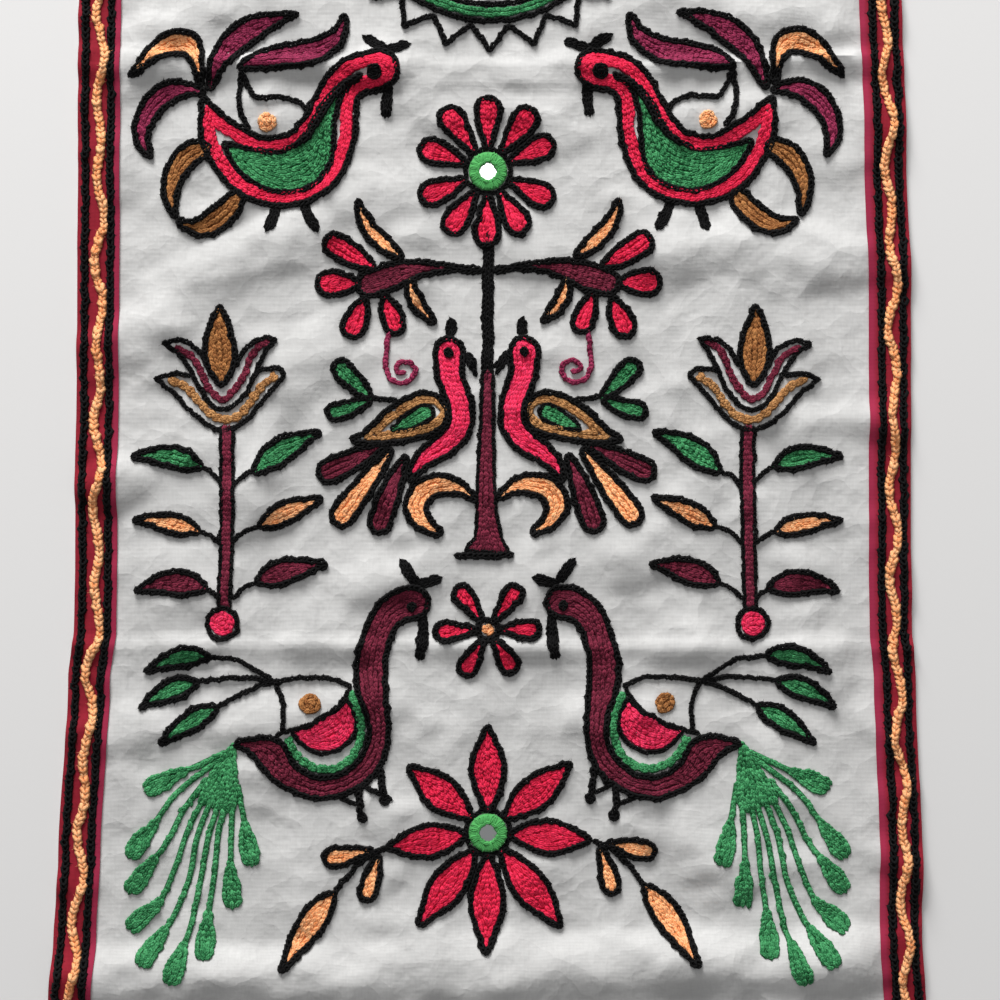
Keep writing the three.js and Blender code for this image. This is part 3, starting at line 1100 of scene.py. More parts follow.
@dataclass
class TulipPlants(Motif):
    """The tall plant on each side, with a cupped flower and three pairs of leaves."""

    name: str = "tulip_plants"
    seed: int = 25
    shift: Point = (-0.5, 0.0)

    def half(self) -> Iterator[Shape]:
        """Shapes of the left plant."""
        yield from self.flower()
        yield Ribbon(((-130.3, 36, 2.9), (-130, 10, 3.0), (-130.6, -20, 2.9), (-131.6, -54, 2.7)),
                     Yarn.WINE, fill_margin=1.6, border=THIN)
        yield Disc((-132.6, -61.7), 6.4, Yarn.ROSE, Yarn.BLACK, border=Stitch(3.2, 2.2))
        yield leaf((-143.5, 16.8), (-177, 21.5), 5.2, -2.6, Yarn.GREEN)
        yield Stroke(((-144, 17), (-138, 13.5), (-133, 8.5)), width=3.0)
        yield leaf((-115.5, 14.5), (-83.5, 34), 6.0, 2.0, Yarn.GREEN)
        yield Stroke(((-115.5, 15), (-121.5, 12.5), (-127, 7)), width=3.0)
        yield leaf((-144.5, -15.5), (-176.5, -9.8), 4.6, -1.2, Yarn.ORANGE)
        yield Stroke(((-145, -15.5), (-139, -17.5), (-133.5, -22)), width=3.0)
        yield leaf((-113, -13), (-82.5, 1), 5.0, 1.0, Yarn.ORANGE)
        yield Stroke(((-113, -13), (-121, -15.5), (-127.5, -21.5)), width=3.0)
        yield leaf((-141, -44), (-175.5, -45.5), 5.8, -3.4, Yarn.WINE)
        yield Stroke(((-141.5, -44), (-137, -46.5), (-133.5, -50)), width=3.0)
        yield leaf((-115, -41), (-81, -32), 5.8, 1.6, Yarn.WINE)
        yield Stroke(((-115, -41), (-122, -44), (-127.5, -49)), width=3.0)

    def flower(self) -> Iterator[Shape]:
        """The ochre bud in its wine and ochre cups."""
        thin = 3.2
        yield from twisted(
            ((-155, 76), (-147.5, 71), (-143, 63), (-138, 54), (-132.8, 50), (-128, 53), (-122.5, 61),
             (-119, 70), (-115, 76), (-109, 79)),
            Yarn.WINE, 2.9, 0.8,
        )
        yield Stroke(
            ((-161, 77.5), (-154.5, 73), (-149, 65.5), (-144, 56), (-139, 48.5), (-132.5, 45),
             (-125.5, 48), (-119, 56.5), (-114.5, 67), (-110, 75), (-105.8, 79.8)),
            width=thin,
        )
        yield Stroke(((-161, 77.8), (-152.5, 79.5), (-144, 74), (-140, 66)), width=thin)
        yield Stroke(((-105.8, 80.2), (-113.5, 80.5), (-121.5, 74.5), (-126, 67)), width=thin)
        yield from twisted(
            ((-158.5, 60), (-151, 56.5), (-145.5, 50.5), (-139, 43.5), (-132.5, 40.2), (-125, 41.8),
             (-119, 48), (-113.5, 56), (-105.5, 62)),
            Yarn.TAN, 3.1, 1.1,
        )
        yield Stroke(
            ((-165.5, 60), (-156.5, 53), (-147, 43), (-137.5, 36.2), (-129.5, 35), (-121, 39.5),
             (-112.5, 49), (-105.5, 57), (-101, 62)),
            width=thin,
        )
        yield Stroke(((-165.5, 60.4), (-157, 63), (-148.5, 62)), width=thin)
        yield Stroke(((-101, 62.4), (-105, 65.6), (-115, 64.5)), width=thin)
        yield Ribbon(((-134.2, 97, 0.4), (-134.2, 88, 4.2), (-133.8, 77, 7.2), (-133.4, 67, 6.4),
                      (-133, 58, 1.4)), Yarn.OCHRE)


@dataclass
class FanTailPeacocks(Motif):
    """The two lower peacocks, wine with a crimson wing, and green tails that fan out."""

    name: str = "fan_tail_peacocks"
    seed: int = 26
    shift: Point = (-0.5, 0.5)
    strand_half: float = 2.1
    bulb_half: float = 4.8
    bulb_length: float = 22.0
    root: tuple[Knot, ...] = (
        (-127, -121.5, 1.6), (-129.5, -130, 4.6), (-131.8, -139, 7.6), (-134, -148, 9.6), (-136, -154, 9.6),
    )
    strands: tuple[tuple[Point, ...], ...] = (
        ((-131, -126), (-147, -133.5), (-158.5, -138.5), (-171.5, -145)),
        ((-130, -127), (-144, -137), (-156, -147), (-165, -159.5), (-179.5, -179)),
        ((-129.5, -128), (-141, -140), (-152, -155), (-160, -170.5), (-179.5, -196.5)),
        ((-129, -128), (-138, -142), (-149, -163), (-156, -183), (-164, -201), (-180, -214.5)),
        ((-128.4, -128), (-135.5, -144), (-144.5, -166), (-149.5, -190), (-157.5, -209), (-173.5, -232)),
        ((-127.6, -128), (-132.6, -146), (-139.5, -168), (-143.5, -190), (-148, -212), (-158.5, -241.5)),
        ((-126.8, -128), (-129.8, -146), (-134.5, -166), (-136.5, -186), (-139.5, -206), (-141.5, -229)),
        ((-126.2, -128), (-127, -144), (-128, -162), (-128.6, -180), (-127.5, -204)),
        ((-125.6, -127), (-124.6, -142), (-122.5, -156), (-120.4, -166), (-117.6, -183)),
    )

    def half(self) -> Iterator[Shape]:
        """Shapes of the left bird."""
        yield from self.fan()
        yield from self.wing()
        yield Ribbon(
            ((-30, -53, 7.6), (-37.5, -51.5, 7.8), (-45, -53.5, 7.4), (-51.5, -59.5, 6.8),
             (-56, -70.5, 6.6), (-58.5, -83.5, 7.2), (-57.5, -96, 6.6), (-55.2, -107, 5.2),
             (-54.7, -118.5, 4.8), (-59.5, -132, 5.2), (-70.5, -141, 5.0), (-83.5, -143.8, 5.2),
             (-93.5, -141, 5.4), (-102, -135.5, 6.2), (-108.5, -126.5, 7.6), (-116.5, -122.8, 4.2),
             (-126, -122, 0.6)),
            Yarn.WINE, start=End.ROUND,
        )
        yield Disc((-38, -53), 3.2, Yarn.BLACK, lift=1.4)
        yield spike(((-32.2, -57, 2.6), (-32.6, -71, 3.2), (-34.8, -80.5, 2.4)))
        yield spike(((-43.5, -30, 2.6), (-39.5, -35.5, 3.2), (-35, -42.5, 2.6)))
        yield spike(((-35.5, -42.5, 2.6), (-28.5, -40.8, 3.2), (-22.5, -38.6, 2.5)))
        yield Stroke(((-53.5, -134.5), (-52, -147)), width=4.4)
        yield Disc((-51, -149.3), 3.4, Yarn.BLACK, lift=0.3)
        yield Stroke(((-62, -142.5), (-53.5, -146.5)), width=3.2)
        yield Stroke(((-64, -143.5), (-64.2, -156)), width=4.4)
        yield Disc((-63, -158), 3.4, Yarn.BLACK, lift=0.3)
        yield Stroke(((-75.5, -148), (-65.5, -152.5)), width=3.2)

    def wing(self) -> Iterator[Shape]:
        """The crimson half-moon in its green rim, the plume lines with their leaves, and the ochre spot."""
        green_rim = ((-67.6, -97), (-64.4, -106), (-63.4, -116), (-66.5, -126.5), (-74, -133), (-83, -134.4),
                     (-91.5, -131), (-97.2, -125), (-99.6, -119))
        yield from twisted(green_rim, Yarn.GREEN, 3.3, 1.1)
        yield Ribbon(((-97.5, -115.5, 0.5), (-87, -118.4, 7.2), (-78.4, -116, 9.4), (-72.5, -110.6, 7.6),
                      (-70, -99.5, 0.6)), Yarn.ROSE, border=Stitch(3.0, 2.1))
        yield Stroke(((-105, -117), (-99, -115), (-92.5, -113.2), (-81, -108.2), (-73, -100.5),
                      (-68.4, -93.5)), width=3.0)
        yield Stroke(((-106.5, -90.5), (-92.5, -88.8), (-78.5, -89.2), (-68.2, -93)), width=3.2)
        yield Stroke(((-106, -91.5), (-102.4, -101), (-102.4, -115.5)), width=3.2)
        yield Disc((-88.9, -101.6), 5.5, Yarn.OCHRE)
        yield leaf((-139.5, -78), (-170.5, -86), 4.6, -3.0, Yarn.GREEN)
        yield Stroke(((-139.5, -78.4), (-125.5, -79.8), (-116.5, -84.5), (-107, -90.5)), width=3.2)
        yield leaf((-145.5, -91), (-173.5, -103.5), 4.8, -1.6, Yarn.GREEN)
        yield Stroke(((-145.5, -90.6), (-130, -88.8), (-116, -89), (-107, -90.8)), width=3.2)
        yield leaf((-135.5, -103.6), (-163.5, -122), 4.8, -1.2, Yarn.GREEN)
        yield Stroke(((-135.5, -103.4), (-123.5, -97), (-114, -92.7), (-106.5, -91)), width=3.2)

    def fan(self) -> Iterator[Shape]:
        """The green strands, which have no outline and end in soft bulbs."""
        yield Ribbon(self.root, Yarn.GREEN, None, fill_margin=1.3)
        for place, strand in enumerate(self.strands):
            strand = strand[1:] if place > 1 else strand
            line = np.asarray(strand, float)
            run = run_along(line)
            neck = run[-1] - self.bulb_length
            halves = [self.strand_half if mark < neck else self.bulb_half for mark in run]
            turn_in = [np.interp(neck, run, line[:, axis]) for axis in (0, 1)]
            knots = [(*spot, half) for spot, half in zip(strand[:-1], halves)]
            knots = [knot for knot, mark in zip(knots, run) if mark < neck - 4.0]
            middle = 0.5 * (np.asarray(turn_in) + line[-1])
            knots.append((*turn_in, 1.1 * self.strand_half))
            knots += [(*spot, self.bulb_half) for spot in (middle, strand[-1])]
            yield Ribbon(tuple(knots), Yarn.GREEN, None, end=End.ROUND, fill_margin=1.3)


@dataclass
class SixPetalFlower(Motif):
    """The small flower between the lower peacocks."""

    name: str = "six_petal_flower"
    seed: int = 27
    centre: Point = (0.0, -64.5)
    heart: float = 3.6
    foot: float = 6.0
    half_width: float = 4.4
    petals: tuple[Point, ...] = ((126, 26), (54, 26.5), (183, 26.5), (0, 26), (242, 26), (-58, 25))

    def middle(self) -> Iterator[Shape]:
        """The petals about the orange heart."""
        for angle, reach in self.petals:
            yield petal(self.centre, angle, self.foot, reach, self.half_width, End.ROUND)
        yield Disc(self.centre, self.heart, Yarn.ORANGE, Yarn.BLACK)


@dataclass
class EightPetalFlower(Motif):
    """The large flower about the lower mirror, with a sprig to each side."""

    name: str = "eight_petal_flower"
    seed: int = 28
    shift: Point = (1.5, 3.5)
    centre: Point = MIRROR_CENTRES[1]
    foot: float = 11.5
    half_width: float = 8.0
    heart: float = 11.2
    petals: tuple[Point, ...] = (
        (90, 53.5), (40, 53.5), (-4, 51.5), (-52, 59.5), (-91, 59.5), (-127, 57.5), (-172, 51), (140, 51.5),
    )

    def middle(self) -> Iterator[Shape]:
        """The petals, and the dark round at their feet."""
        for angle, reach in self.petals:
            yield petal(self.centre, angle, self.foot, reach, self.half_width, End.POINT)
        ring = tuple(map(tuple, circle(self.centre, self.heart)))
        yield Stroke(ring, width=3.0, sharp=True)

    def half(self) -> Iterator[Shape]:
        """The left sprig of three orange leaves."""
        yield Stroke(((-51, -173.5), (-59, -177), (-66, -183), (-71.5, -189.5), (-77.5, -197)), width=3.6)
        yield Ribbon(((-58.5, -175, 0.8), (-66.5, -176.6, 3.2), (-74, -178, 4.4), (-82.2, -178.6, 4.4)),
                     Yarn.ORANGE, end=End.ROUND)
        yield Ribbon(((-54.5, -177.5, 0.8), (-57, -185, 3.0), (-59, -192, 4.0), (-61, -200, 4.0)),
                     Yarn.ORANGE, end=End.ROUND)
        yield leaf((-77.5, -196.5), (-102.5, -234), 6.2, -0.8, Yarn.ORANGE)


@dataclass
class TopMedallion(Motif):
    """The lower edge of a round medallion, cut through by the cloth's upper end."""

    name: str = "top_medallion"
    seed: int = 29
    centre: Point = (1.0, 306.0)
    rows: tuple[tuple[float, Yarn, float], ...] = (
        (67.0, Yarn.BLACK, 3.4), (64.0, Yarn.GREEN, 2.6), (61.8, Yarn.GREEN, 2.6), (58.8, Yarn.BLACK, 3.4),
    )
    point_reach: float = 81.5
    point_foot: float = 69.5
    point_pitch: float = 15.8
    cut: float = 259.0

    def middle(self) -> Iterator[Shape]:
        """The green round between dark rows, and the points below it."""
        for radius, yarn, width in self.rows:
            half_angle = math.degrees(math.acos((self.centre[1] - self.cut) / radius))
            arc = circle(self.centre, radius, -90 - half_angle, -90 + half_angle)
            yield Stroke(tuple(map(tuple, arc)), yarn, width, sharp=True)
        corners = []
        for step in range(-7, 8):
            angle = math.radians(-90 + 0.5 * step * self.point_pitch)
            reach = self.point_foot if step % 2 else self.point_reach
            x, y = reach * math.cos(angle), reach * math.sin(angle)
            corners.append((self.centre[0] + x, self.centre[1] + y))
        kept = tuple(corner for corner in corners if corner[1] < self.cut)
        yield Stroke(kept, width=3.4, sharp=True)
        yield Ribbon(((1, 259.5, 4.5), (1, 256, 3.6), (1, 251.5, 0.6)), Yarn.CRIMSON)


def deselect_all() -> None:
    """Leave nothing selected, so that an operator acts only on what is added next."""
    bpy.ops.object.select_all(action="DESELECT")


def apply_modifiers(piece: bpy.types.Object) -> None:
    """Apply a piece's modifiers in order."""
    deselect_all()
    piece.select_set(True)
    bpy.context.view_layer.objects.active = piece
    for modifier in list(piece.modifiers):
        bpy.ops.object.modifier_apply(modifier=modifier.name)


def add_sheet(name: str, columns: int, rows: int) -> tuple[bpy.types.Object, np.ndarray, np.ndarray]:
    """Add a grid that is to be laid as cloth.

    Args:
        name: Name of the piece.
        columns: Cells across it.
        rows: Cells along it.

    Returns:
        The piece, and each point's share across and along it, from 0 to 1.
    """
    deselect_all()
    bpy.ops.mesh.primitive_grid_add(x_subdivisions=columns, y_subdivisions=rows, size=1.0)
    piece = bpy.context.object
    piece.name = piece.data.name = name
    places = np.empty(3 * len(piece.data.vertices))
    piece.data.vertices.foreach_get("co", places)
    shares = places.reshape(-1, 3) + 0.5
    return piece, shares[:, 0], shares[:, 1]


def lay_sheet(piece: bpy.types.Object, places: np.ndarray, thickness: float) -> None:
    """Lay a grid out as cloth and give it its thickness.

    Args:
        piece: The grid.
        places: Where each point of its upper face goes, in mm.
        thickness: Thickness of the cloth, in mm.
    """
    piece.data.vertices.foreach_set("co", (places * MM).ravel())
    piece.data.update()
    solidify = piece.modifiers.new("thickness", "SOLIDIFY")
    solidify.thickness = thickness * MM
    solidify.offset = -1.0
    apply_modifiers(piece)
    bpy.ops.object.shade_smooth_by_angle(angle=math.radians(50))


@dataclass
class GroundCloth:
    """The panel of off-white cotton that everything is sewn on."""

    drape: Drape
    columns: int = 90
    rows: int = 180
    flat_width: float = 422.0

    def build(self) -> bpy.types.Object:
        """Lay the panel in its folds.

        Returns:
            The piece.
        """
        piece, across, along = add_sheet("ground_panel", self.columns, self.rows)
        y = (along - 0.5) * self.drape.length
        left, right = self.drape.edge(y, Side.LEFT), self.drape.edge(y, Side.RIGHT)
        x = left + across * (right - left)
        y = self.drape.bowed(x, y)
        lay_sheet(piece, np.column_stack([x, y, self.drape.top(x, y)]), self.drape.thickness)
        dress(piece, ground_cotton_material())
        return settle(piece, "ground_cotton", "ground_cloth")


@dataclass
class SideBand:
    """A crimson cotton band along one edge, with its stitched rows."""

    drape: Drape
    side: Side
    width: float = 21.0
    thickness: float = 0.9
    gap: float = 0.25
    columns: int = 10
    rows: int = 200
    puff: float = 0.45
    outer_row: float = 3.8
    inner_row: float = 15.5
    wave_row: float = 10.0
    wave_swing: float = 1.9
    wave_length: float = 41.0
    drift_length: float = 67.0
    row_width: float = 4.8
    wave_width: float = 4.8
    drift_share: float = 0.4
    wave_rise: float = 0.6
    end_inset: float = 2.0
    first_seed: int = 40

    @property
    def name(self) -> str:
        """Name of the side."""
        return self.side.name.lower()

    def place(self, inset: np.ndarray, y: np.ndarray) -> tuple[np.ndarray, np.ndarray]:
        """A place on the band.

        Args:
            inset: Distances in from the outer edge.
            y: Places along the cloth, before its ends are bowed.

        Returns:
            The places' x and y.
        """
        x = self.drape.edge(y, self.side) - self.side.value * inset
        return x, self.drape.bowed(x, y)

    def swell(self, inset: np.ndarray) -> np.ndarray:
        """How far the cotton puffs up between the stitched rows that hold it down."""
        rows = np.array([0.0, self.outer_row, self.inner_row, self.width])
        part = np.clip(np.searchsorted(rows, inset) - 1, 0, len(rows) - 2)
        share = (inset - rows[part]) / (rows[part + 1] - rows[part])
        return self.puff * np.sin(math.pi * np.clip(share, 0.0, 1.0))

    def build(self) -> bpy.types.Object:
        """Lay the band on the edge of the ground cloth.

        Returns:
            The piece.
        """
        piece, across, along = add_sheet(f"{self.name}_band", self.columns, self.rows)
        inset = (across if self.side is Side.LEFT else 1 - across) * self.width
        x, y = self.place(inset, (along - 0.5) * self.drape.length)
        z = self.drape.top(x, y) + self.gap + self.thickness + self.swell(inset)
        lay_sheet(piece, np.column_stack([x, y, z]), self.thickness)
        share = piece.data.attributes.new("inset", "FLOAT", "POINT")
        places = np.empty(3 * len(piece.data.vertices))
        piece.data.vertices.foreach_get("co", places)
        x, y = places.reshape(-1, 3).T[:2] / MM
        share.data.foreach_set("value", np.abs(self.drape.edge(y, self.side) - x) / self.width)
        dress(piece, band_cotton_material())
        return settle(piece, "band_cotton", f"band_{self.name}")

    def sew(self) -> list[bpy.types.Object]:
        """Sew the two black rows and the orange waved row.

        Returns:
            A piece for each yarn.
        """
        needle = Needlework(f"{self.name}_band", self.drape, self.first_seed + self.side.value)
        end = 0.5 * self.drape.length - self.end_inset
        y = np.arange(-end, end, 1.0)
        lift = self.gap + self.thickness
        for inset in (self.outer_row, self.inner_row):
            path = np.column_stack(self.place(np.full_like(y, inset), y))
            needle.row(path, Yarn.BLACK, row_stitch(self.row_width), lift)
        wave, drift = 2 * math.pi * y / self.wave_length, 2 * math.pi * y / self.drift_length
        swing = self.wave_swing * (np.sin(wave + self.side.value) + self.drift_share * np.sin(drift))
        path = np.column_stack(self.place(self.wave_row + swing, y))
        needle.row(path, Yarn.ORANGE, row_stitch(self.wave_width), lift + self.wave_rise * self.puff)
        return needle.pieces()


@dataclass
class SewnMirror:
    """A round mirror and the worked ring that holds it down."""

    drape: Drape
    name: str
    centre: Point
    radius: float = 6.5
    thickness: float = 1.2
    gap: float = 0.3
    rim_bevel: float = 0.35
    ring_middle: float = 7.2
    ring_half: float = 2.4
    ring_height: float = 2.6
    bar_count: int = 24
    bar_length: float = 3.2
    bar_width: float = 2.5
    bar_foot: float = 5.9
    bar_lift: float = 2.0
    lip_lift: float = 2.5
    lip_radius: float = 5.2
    lip_width: float = 1.9
    lip_pitch: float = 1.9
    smooth_angle: float = 12.0
    seed: int = 50

    @property
    def seat(self) -> float:
        """Height of the mirror's lower face."""
        return float(self.drape.top(*np.asarray(self.centre))) + self.gap

    def glass(self) -> bpy.types.Object:
        """Grind the glass: a disc with a softened rim and a face that is set in by a hair.

        Returns:
            The piece.
        """
        deselect_all()
        height = (self.seat + 0.5 * self.thickness) * MM
        bpy.ops.mesh.primitive_cylinder_add(
            vertices=48, radius=self.radius * MM, depth=self.thickness * MM,
            location=(self.centre[0] * MM, self.centre[1] * MM, height),
        )
        piece = bpy.context.object
        piece.name = piece.data.name = f"{self.name}_mirror"
        bpy.ops.object.transform_apply(location=True, rotation=True, scale=True)
        bpy.ops.object.mode_set(mode="EDIT")
        bpy.ops.mesh.select_all(action="SELECT")
        bpy.ops.mesh.bevel(offset=self.rim_bevel * MM, segments=3, affect="EDGES")
        bpy.ops.object.mode_set(mode="OBJECT")
        bpy.ops.object.shade_smooth_by_angle(angle=math.radians(self.smooth_angle))
        dress(piece, part_material("mirror_glass"))
        return settle(piece, "mirror_glass", f"mirror_{self.name}")

    def ring(self) -> bpy.types.Object:
        """Work the ring: a padded round, yarn bars over it and a lip at the glass.

        Returns:
            The piece.
        """
        needle = Needlework(f"{self.name}_ring", self.drape, self.seed)
        for angle in np.arange(self.bar_count) * 360.0 / self.bar_count:
            cos, sin = math.cos(math.radians(angle)), math.sin(math.radians(angle))
            ends = [(self.centre[0] + r * cos, self.centre[1] + r * sin)
                    for r in (self.bar_foot, self.bar_foot + self.bar_length)]
            needle.row(np.asarray(ends), Yarn.RING, Stitch(self.bar_width, self.bar_length), self.bar_lift)
        lip = circle(self.centre, self.lip_radius)
        needle.row(lip, Yarn.RING, Stitch(self.lip_width, self.lip_pitch), self.lip_lift)
        yarn = needle.pieces()[0]
        deselect_all()
        bpy.ops.mesh.primitive_torus_add(
            major_segments=40, minor_segments=10, major_radius=self.ring_middle * MM,
            minor_radius=self.ring_half * MM,
            location=(self.centre[0] * MM, self.centre[1] * MM, (self.seat + 0.5 * self.ring_height) * MM),
        )
        pad = bpy.context.object
        bpy.ops.transform.resize(value=(1.0, 1.0, 0.5 * self.ring_height / self.ring_half))
        bpy.ops.object.transform_apply(location=True, rotation=True, scale=True)
        bpy.ops.object.shade_smooth()
        pad.data.uv_layers.active.name = "ply"
        dress(pad, yarn_material(Yarn.RING))
        yarn.select_set(True)
        bpy.context.view_layer.objects.active = yarn
        bpy.ops.object.join()
        yarn.name = yarn.data.name = f"{self.name}_worked_ring"
        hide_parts(f"ring_{self.name}")
        return yarn


def node(tree: bpy.types.NodeTree, kind: str, **settings: object) -> bpy.types.Node:
    """Add a node.

    Args:
        tree: Tree that it goes in.
        kind: Its type.
        settings: Its properties, and "inputs" for a dict of socket values.

    Returns:
        The node.
    """
    made = tree.nodes.new(kind)
    for socket, value in settings.pop("inputs", {}).items():
        made.inputs[socket].default_value = value
    for name, value in settings.items():
        setattr(made, name, value)
    return made


def math_node(tree: bpy.types.NodeTree, operation: str, *values: object) -> bpy.types.NodeSocket:
    """Add a math node on sockets or numbers.

    Args:
        tree: Tree that it goes in.
        operation: What it works out.
        values: Its sockets or numbers.

    Returns:
        The result's socket.
    """
    made = node(tree, "ShaderNodeMath", operation=operation)
    for place, value in enumerate(values):
        if isinstance(value, bpy.types.NodeSocket):
            tree.links.new(value, made.inputs[place])
        else:
            made.inputs[place].default_value = value
    return made.outputs[0]


def mix_colours(
    tree: bpy.types.NodeTree, share: object, first: object, second: object
) -> bpy.types.NodeSocket:
    """Mix two colours.

    Args:
        tree: Tree that the node goes in.
        share: Socket of the second colour's share.
        first: Socket or colour at share 0.
        second: Socket or colour at share 1.

    Returns:
        The mixed colour's socket.
    """
    made = node(tree, "ShaderNodeMix", data_type="RGBA", clamp_factor=True)
    tree.links.new(share, made.inputs[0])
    for place, value in ((6, first), (7, second)):
        if isinstance(value, bpy.types.NodeSocket):
            tree.links.new(value, made.inputs[place])
        else:
            made.inputs[place].default_value = (*value, 1.0)
    return made.outputs[2]


def new_group(
    name: str, colours: tuple[str, ...]
) -> tuple[bpy.types.NodeTree, bpy.types.Node, bpy.types.Node]:
    """Start a shader node group that gives a colour and a height.

    Args:
        name: Name of the group.
        colours: Names of its colour inputs.

    Returns:
        The group, its input node and its output node.
    """
    group = bpy.data.node_groups.new(name, "ShaderNodeTree")
    for colour in colours:
        group.interface.new_socket(colour, in_out="INPUT", socket_type="NodeSocketColor")
    group.interface.new_socket("Color", in_out="OUTPUT", socket_type="NodeSocketColor")
    group.interface.new_socket("Height", in_out="OUTPUT", socket_type="NodeSocketFloat")
    return group, node(group, "NodeGroupInput"), node(group, "NodeGroupOutput")


def wool_ply_group() -> bpy.types.NodeTree:
    """Twisted wool: plies that turn round the yarn, fibres mottled between a painted shade colour and a
    painted highlight colour, and a random tone for each stitch.

    Returns:
        The group, made once.
    """
    if "wool_ply" in bpy.data.node_groups:
        return bpy.data.node_groups["wool_ply"]
    group, given, result = new_group("wool_ply", ("Hollow", "Raised"))
    link = group.links.new
    tint = node(group, "ShaderNodeAttribute", attribute_name="tint")
    ply = node(group, "ShaderNodeUVMap", uv_map="ply")
    turned = node(group, "ShaderNodeMapping", inputs={"Scale": (6.0, 2.0, 1.0)})
    link(ply.outputs[0], turned.inputs[0])
    twist = node(group, "ShaderNodeTexWave", bands_direction="DIAGONAL",
                 inputs={"Scale": 0.32, "Distortion": 1.5, "Detail": 1.0})
    link(turned.outputs[0], twist.inputs[0])
    place = node(group, "ShaderNodeTexCoord")
    fluff = node(group, "ShaderNodeTexNoise", inputs={"Scale": 1300.0, "Detail": 3.0, "Roughness": 0.75})
    link(place.outputs["Object"], fluff.inputs["Vector"])
    # Painted shade and painted highlight: the fine noise and each stitch's tint mix the two colours over the
    # fibres at random.
    mottle = math_node(group, "MULTIPLY_ADD", fluff.outputs[0], 3.6, -1.55)
    shade = math_node(group, "ADD", math_node(group, "MULTIPLY", tint.outputs["Fac"], 0.5), mottle)
    link(mix_colours(group, shade, given.outputs["Hollow"], given.outputs["Raised"]), result.inputs["Color"])
    plies = math_node(group, "MULTIPLY", twist.outputs["Fac"], 0.6)
    height = math_node(group, "ADD", plies, fluff.outputs[0])
    link(height, result.inputs["Height"])
    return group


def plain_weave_group() -> bpy.types.NodeTree:
    """Plain weave: threads over and under each other, with painted shade between them, and slubs along both
    ways.

    Returns:
        The group, made once.
    """
    if "plain_weave" in bpy.data.node_groups:
        return bpy.data.node_groups["plain_weave"]
    group, given, result = new_group("plain_weave", ("Shadow", "Thread"))
    link = group.links.new
    place = node(group, "ShaderNodeTexCoord").outputs["Object"]
    waves, slubs = [], []
    for way, stretch in (("X", (900.0, 150.0, 150.0)), ("Y", (150.0, 900.0, 150.0))):
        wave = node(group, "ShaderNodeTexWave", bands_direction=way,
                    inputs={"Scale": 480.0, "Distortion": 0.4, "Detail": 1.0})
        link(place, wave.inputs[0])
        waves.append(wave.outputs["Fac"])
        drawn = node(group, "ShaderNodeMapping", inputs={"Scale": stretch})
        link(place, drawn.inputs[0])
        slub = node(group, "ShaderNodeTexNoise", inputs={"Scale": 1.0, "Detail": 2.0})
        link(drawn.outputs[0], slub.inputs["Vector"])
        slubs.append(slub.outputs[0])
    cells = math_node(group, "MULTIPLY", *waves)
    streaks = math_node(group, "ADD", *slubs)
    # Painted shade: the Shadow colour darkens the gaps between the crossing threads, and the slub streaks
    # also move the colour between Shadow and Thread as the yarn's own tone.
    shade = math_node(group, "MULTIPLY_ADD", streaks, 0.7, -0.35)
    shade = math_node(group, "ADD", shade, math_node(group, "MULTIPLY", cells, 0.35))
    link(mix_colours(group, shade, given.outputs["Shadow"], given.outputs["Thread"]), result.inputs["Color"])
    link(math_node(group, "ADD", cells, math_node(group, "MULTIPLY", streaks, 0.4)), result.inputs["Height"])
    return group


def new_material(name: str, **settings: object) -> tuple[bpy.types.Material, bpy.types.Node]:
    """Start a material.

    Args:
        name: Its name.
        settings: Values of the shader's sockets that are the same all over.

    Returns:
        The material and its shader node.
    """
    material = bpy.data.materials.new(name)
    material.use_nodes = True
    shader = material.node_tree.nodes["Principled BSDF"]
    for socket, value in settings.items():
        shader.inputs[socket.replace("_", " ").title().replace("Ior", "IOR")].default_value = value
    return material, shader


def add_bump(
    material: bpy.types.Material, height: bpy.types.NodeSocket, depth: float, strength: float
) -> None:
    """Raise a material's surface by a height.

    Args:
        material: The material.
        height: Socket of the height.
        depth: Depth of the relief, in mm.
        strength: How strongly it shows.
    """
    tree = material.node_tree
    normal = tree.nodes["Principled BSDF"].inputs["Normal"]
    bump = node(tree, "ShaderNodeBump", inputs={"Distance": depth * MM, "Strength": strength})
    tree.links.new(height, bump.inputs["Height"])
    if normal.is_linked:
        tree.links.new(normal.links[0].from_socket, bump.inputs["Normal"])
    tree.links.new(bump.outputs[0], normal)


def place_group(
    material: bpy.types.Material, group: bpy.types.NodeTree, colours: dict[str, Rgb]
) -> bpy.types.Node:
    """Place a node group in a material.

    Args:
        material: The material.
        group: The group.
        colours: Its colour inputs.

    Returns:
        The group's node.
    """
    placed = node(material.node_tree, "ShaderNodeGroup", node_tree=group)
    for socket, colour in colours.items():
        placed.inputs[socket].default_value = (*colour, 1.0)
    return placed


def yarn_material(yarn: Yarn) -> bpy.types.Material:
    """The wool of one yarn.

    Args:
        yarn: The yarn.

    Returns:
        Its material, made once. The ring's yarn is the part's own.
    """
    if yarn.value in bpy.data.materials:
        return bpy.data.materials[yarn.value]
    finish = YARN_FINISHES[yarn]
    material, shader = new_material(
        yarn.value, roughness=0.9, sheen_weight=finish.sheen, sheen_roughness=0.6,
        sheen_tint=(*finish.raised, 1.0), specular_ior_level=0.2,
    )
    # The wool's two colours are a painted shade and a painted highlight of the yarn's dye; the highlight
    # colour also tints the sheen.
    wool = place_group(material, wool_ply_group(), {"Hollow": finish.hollow, "Raised": finish.raised})
    material.node_tree.links.new(wool.outputs["Color"], shader.inputs["Base Color"])
    add_bump(material, wool.outputs["Height"], 0.45, 0.7)
    return material


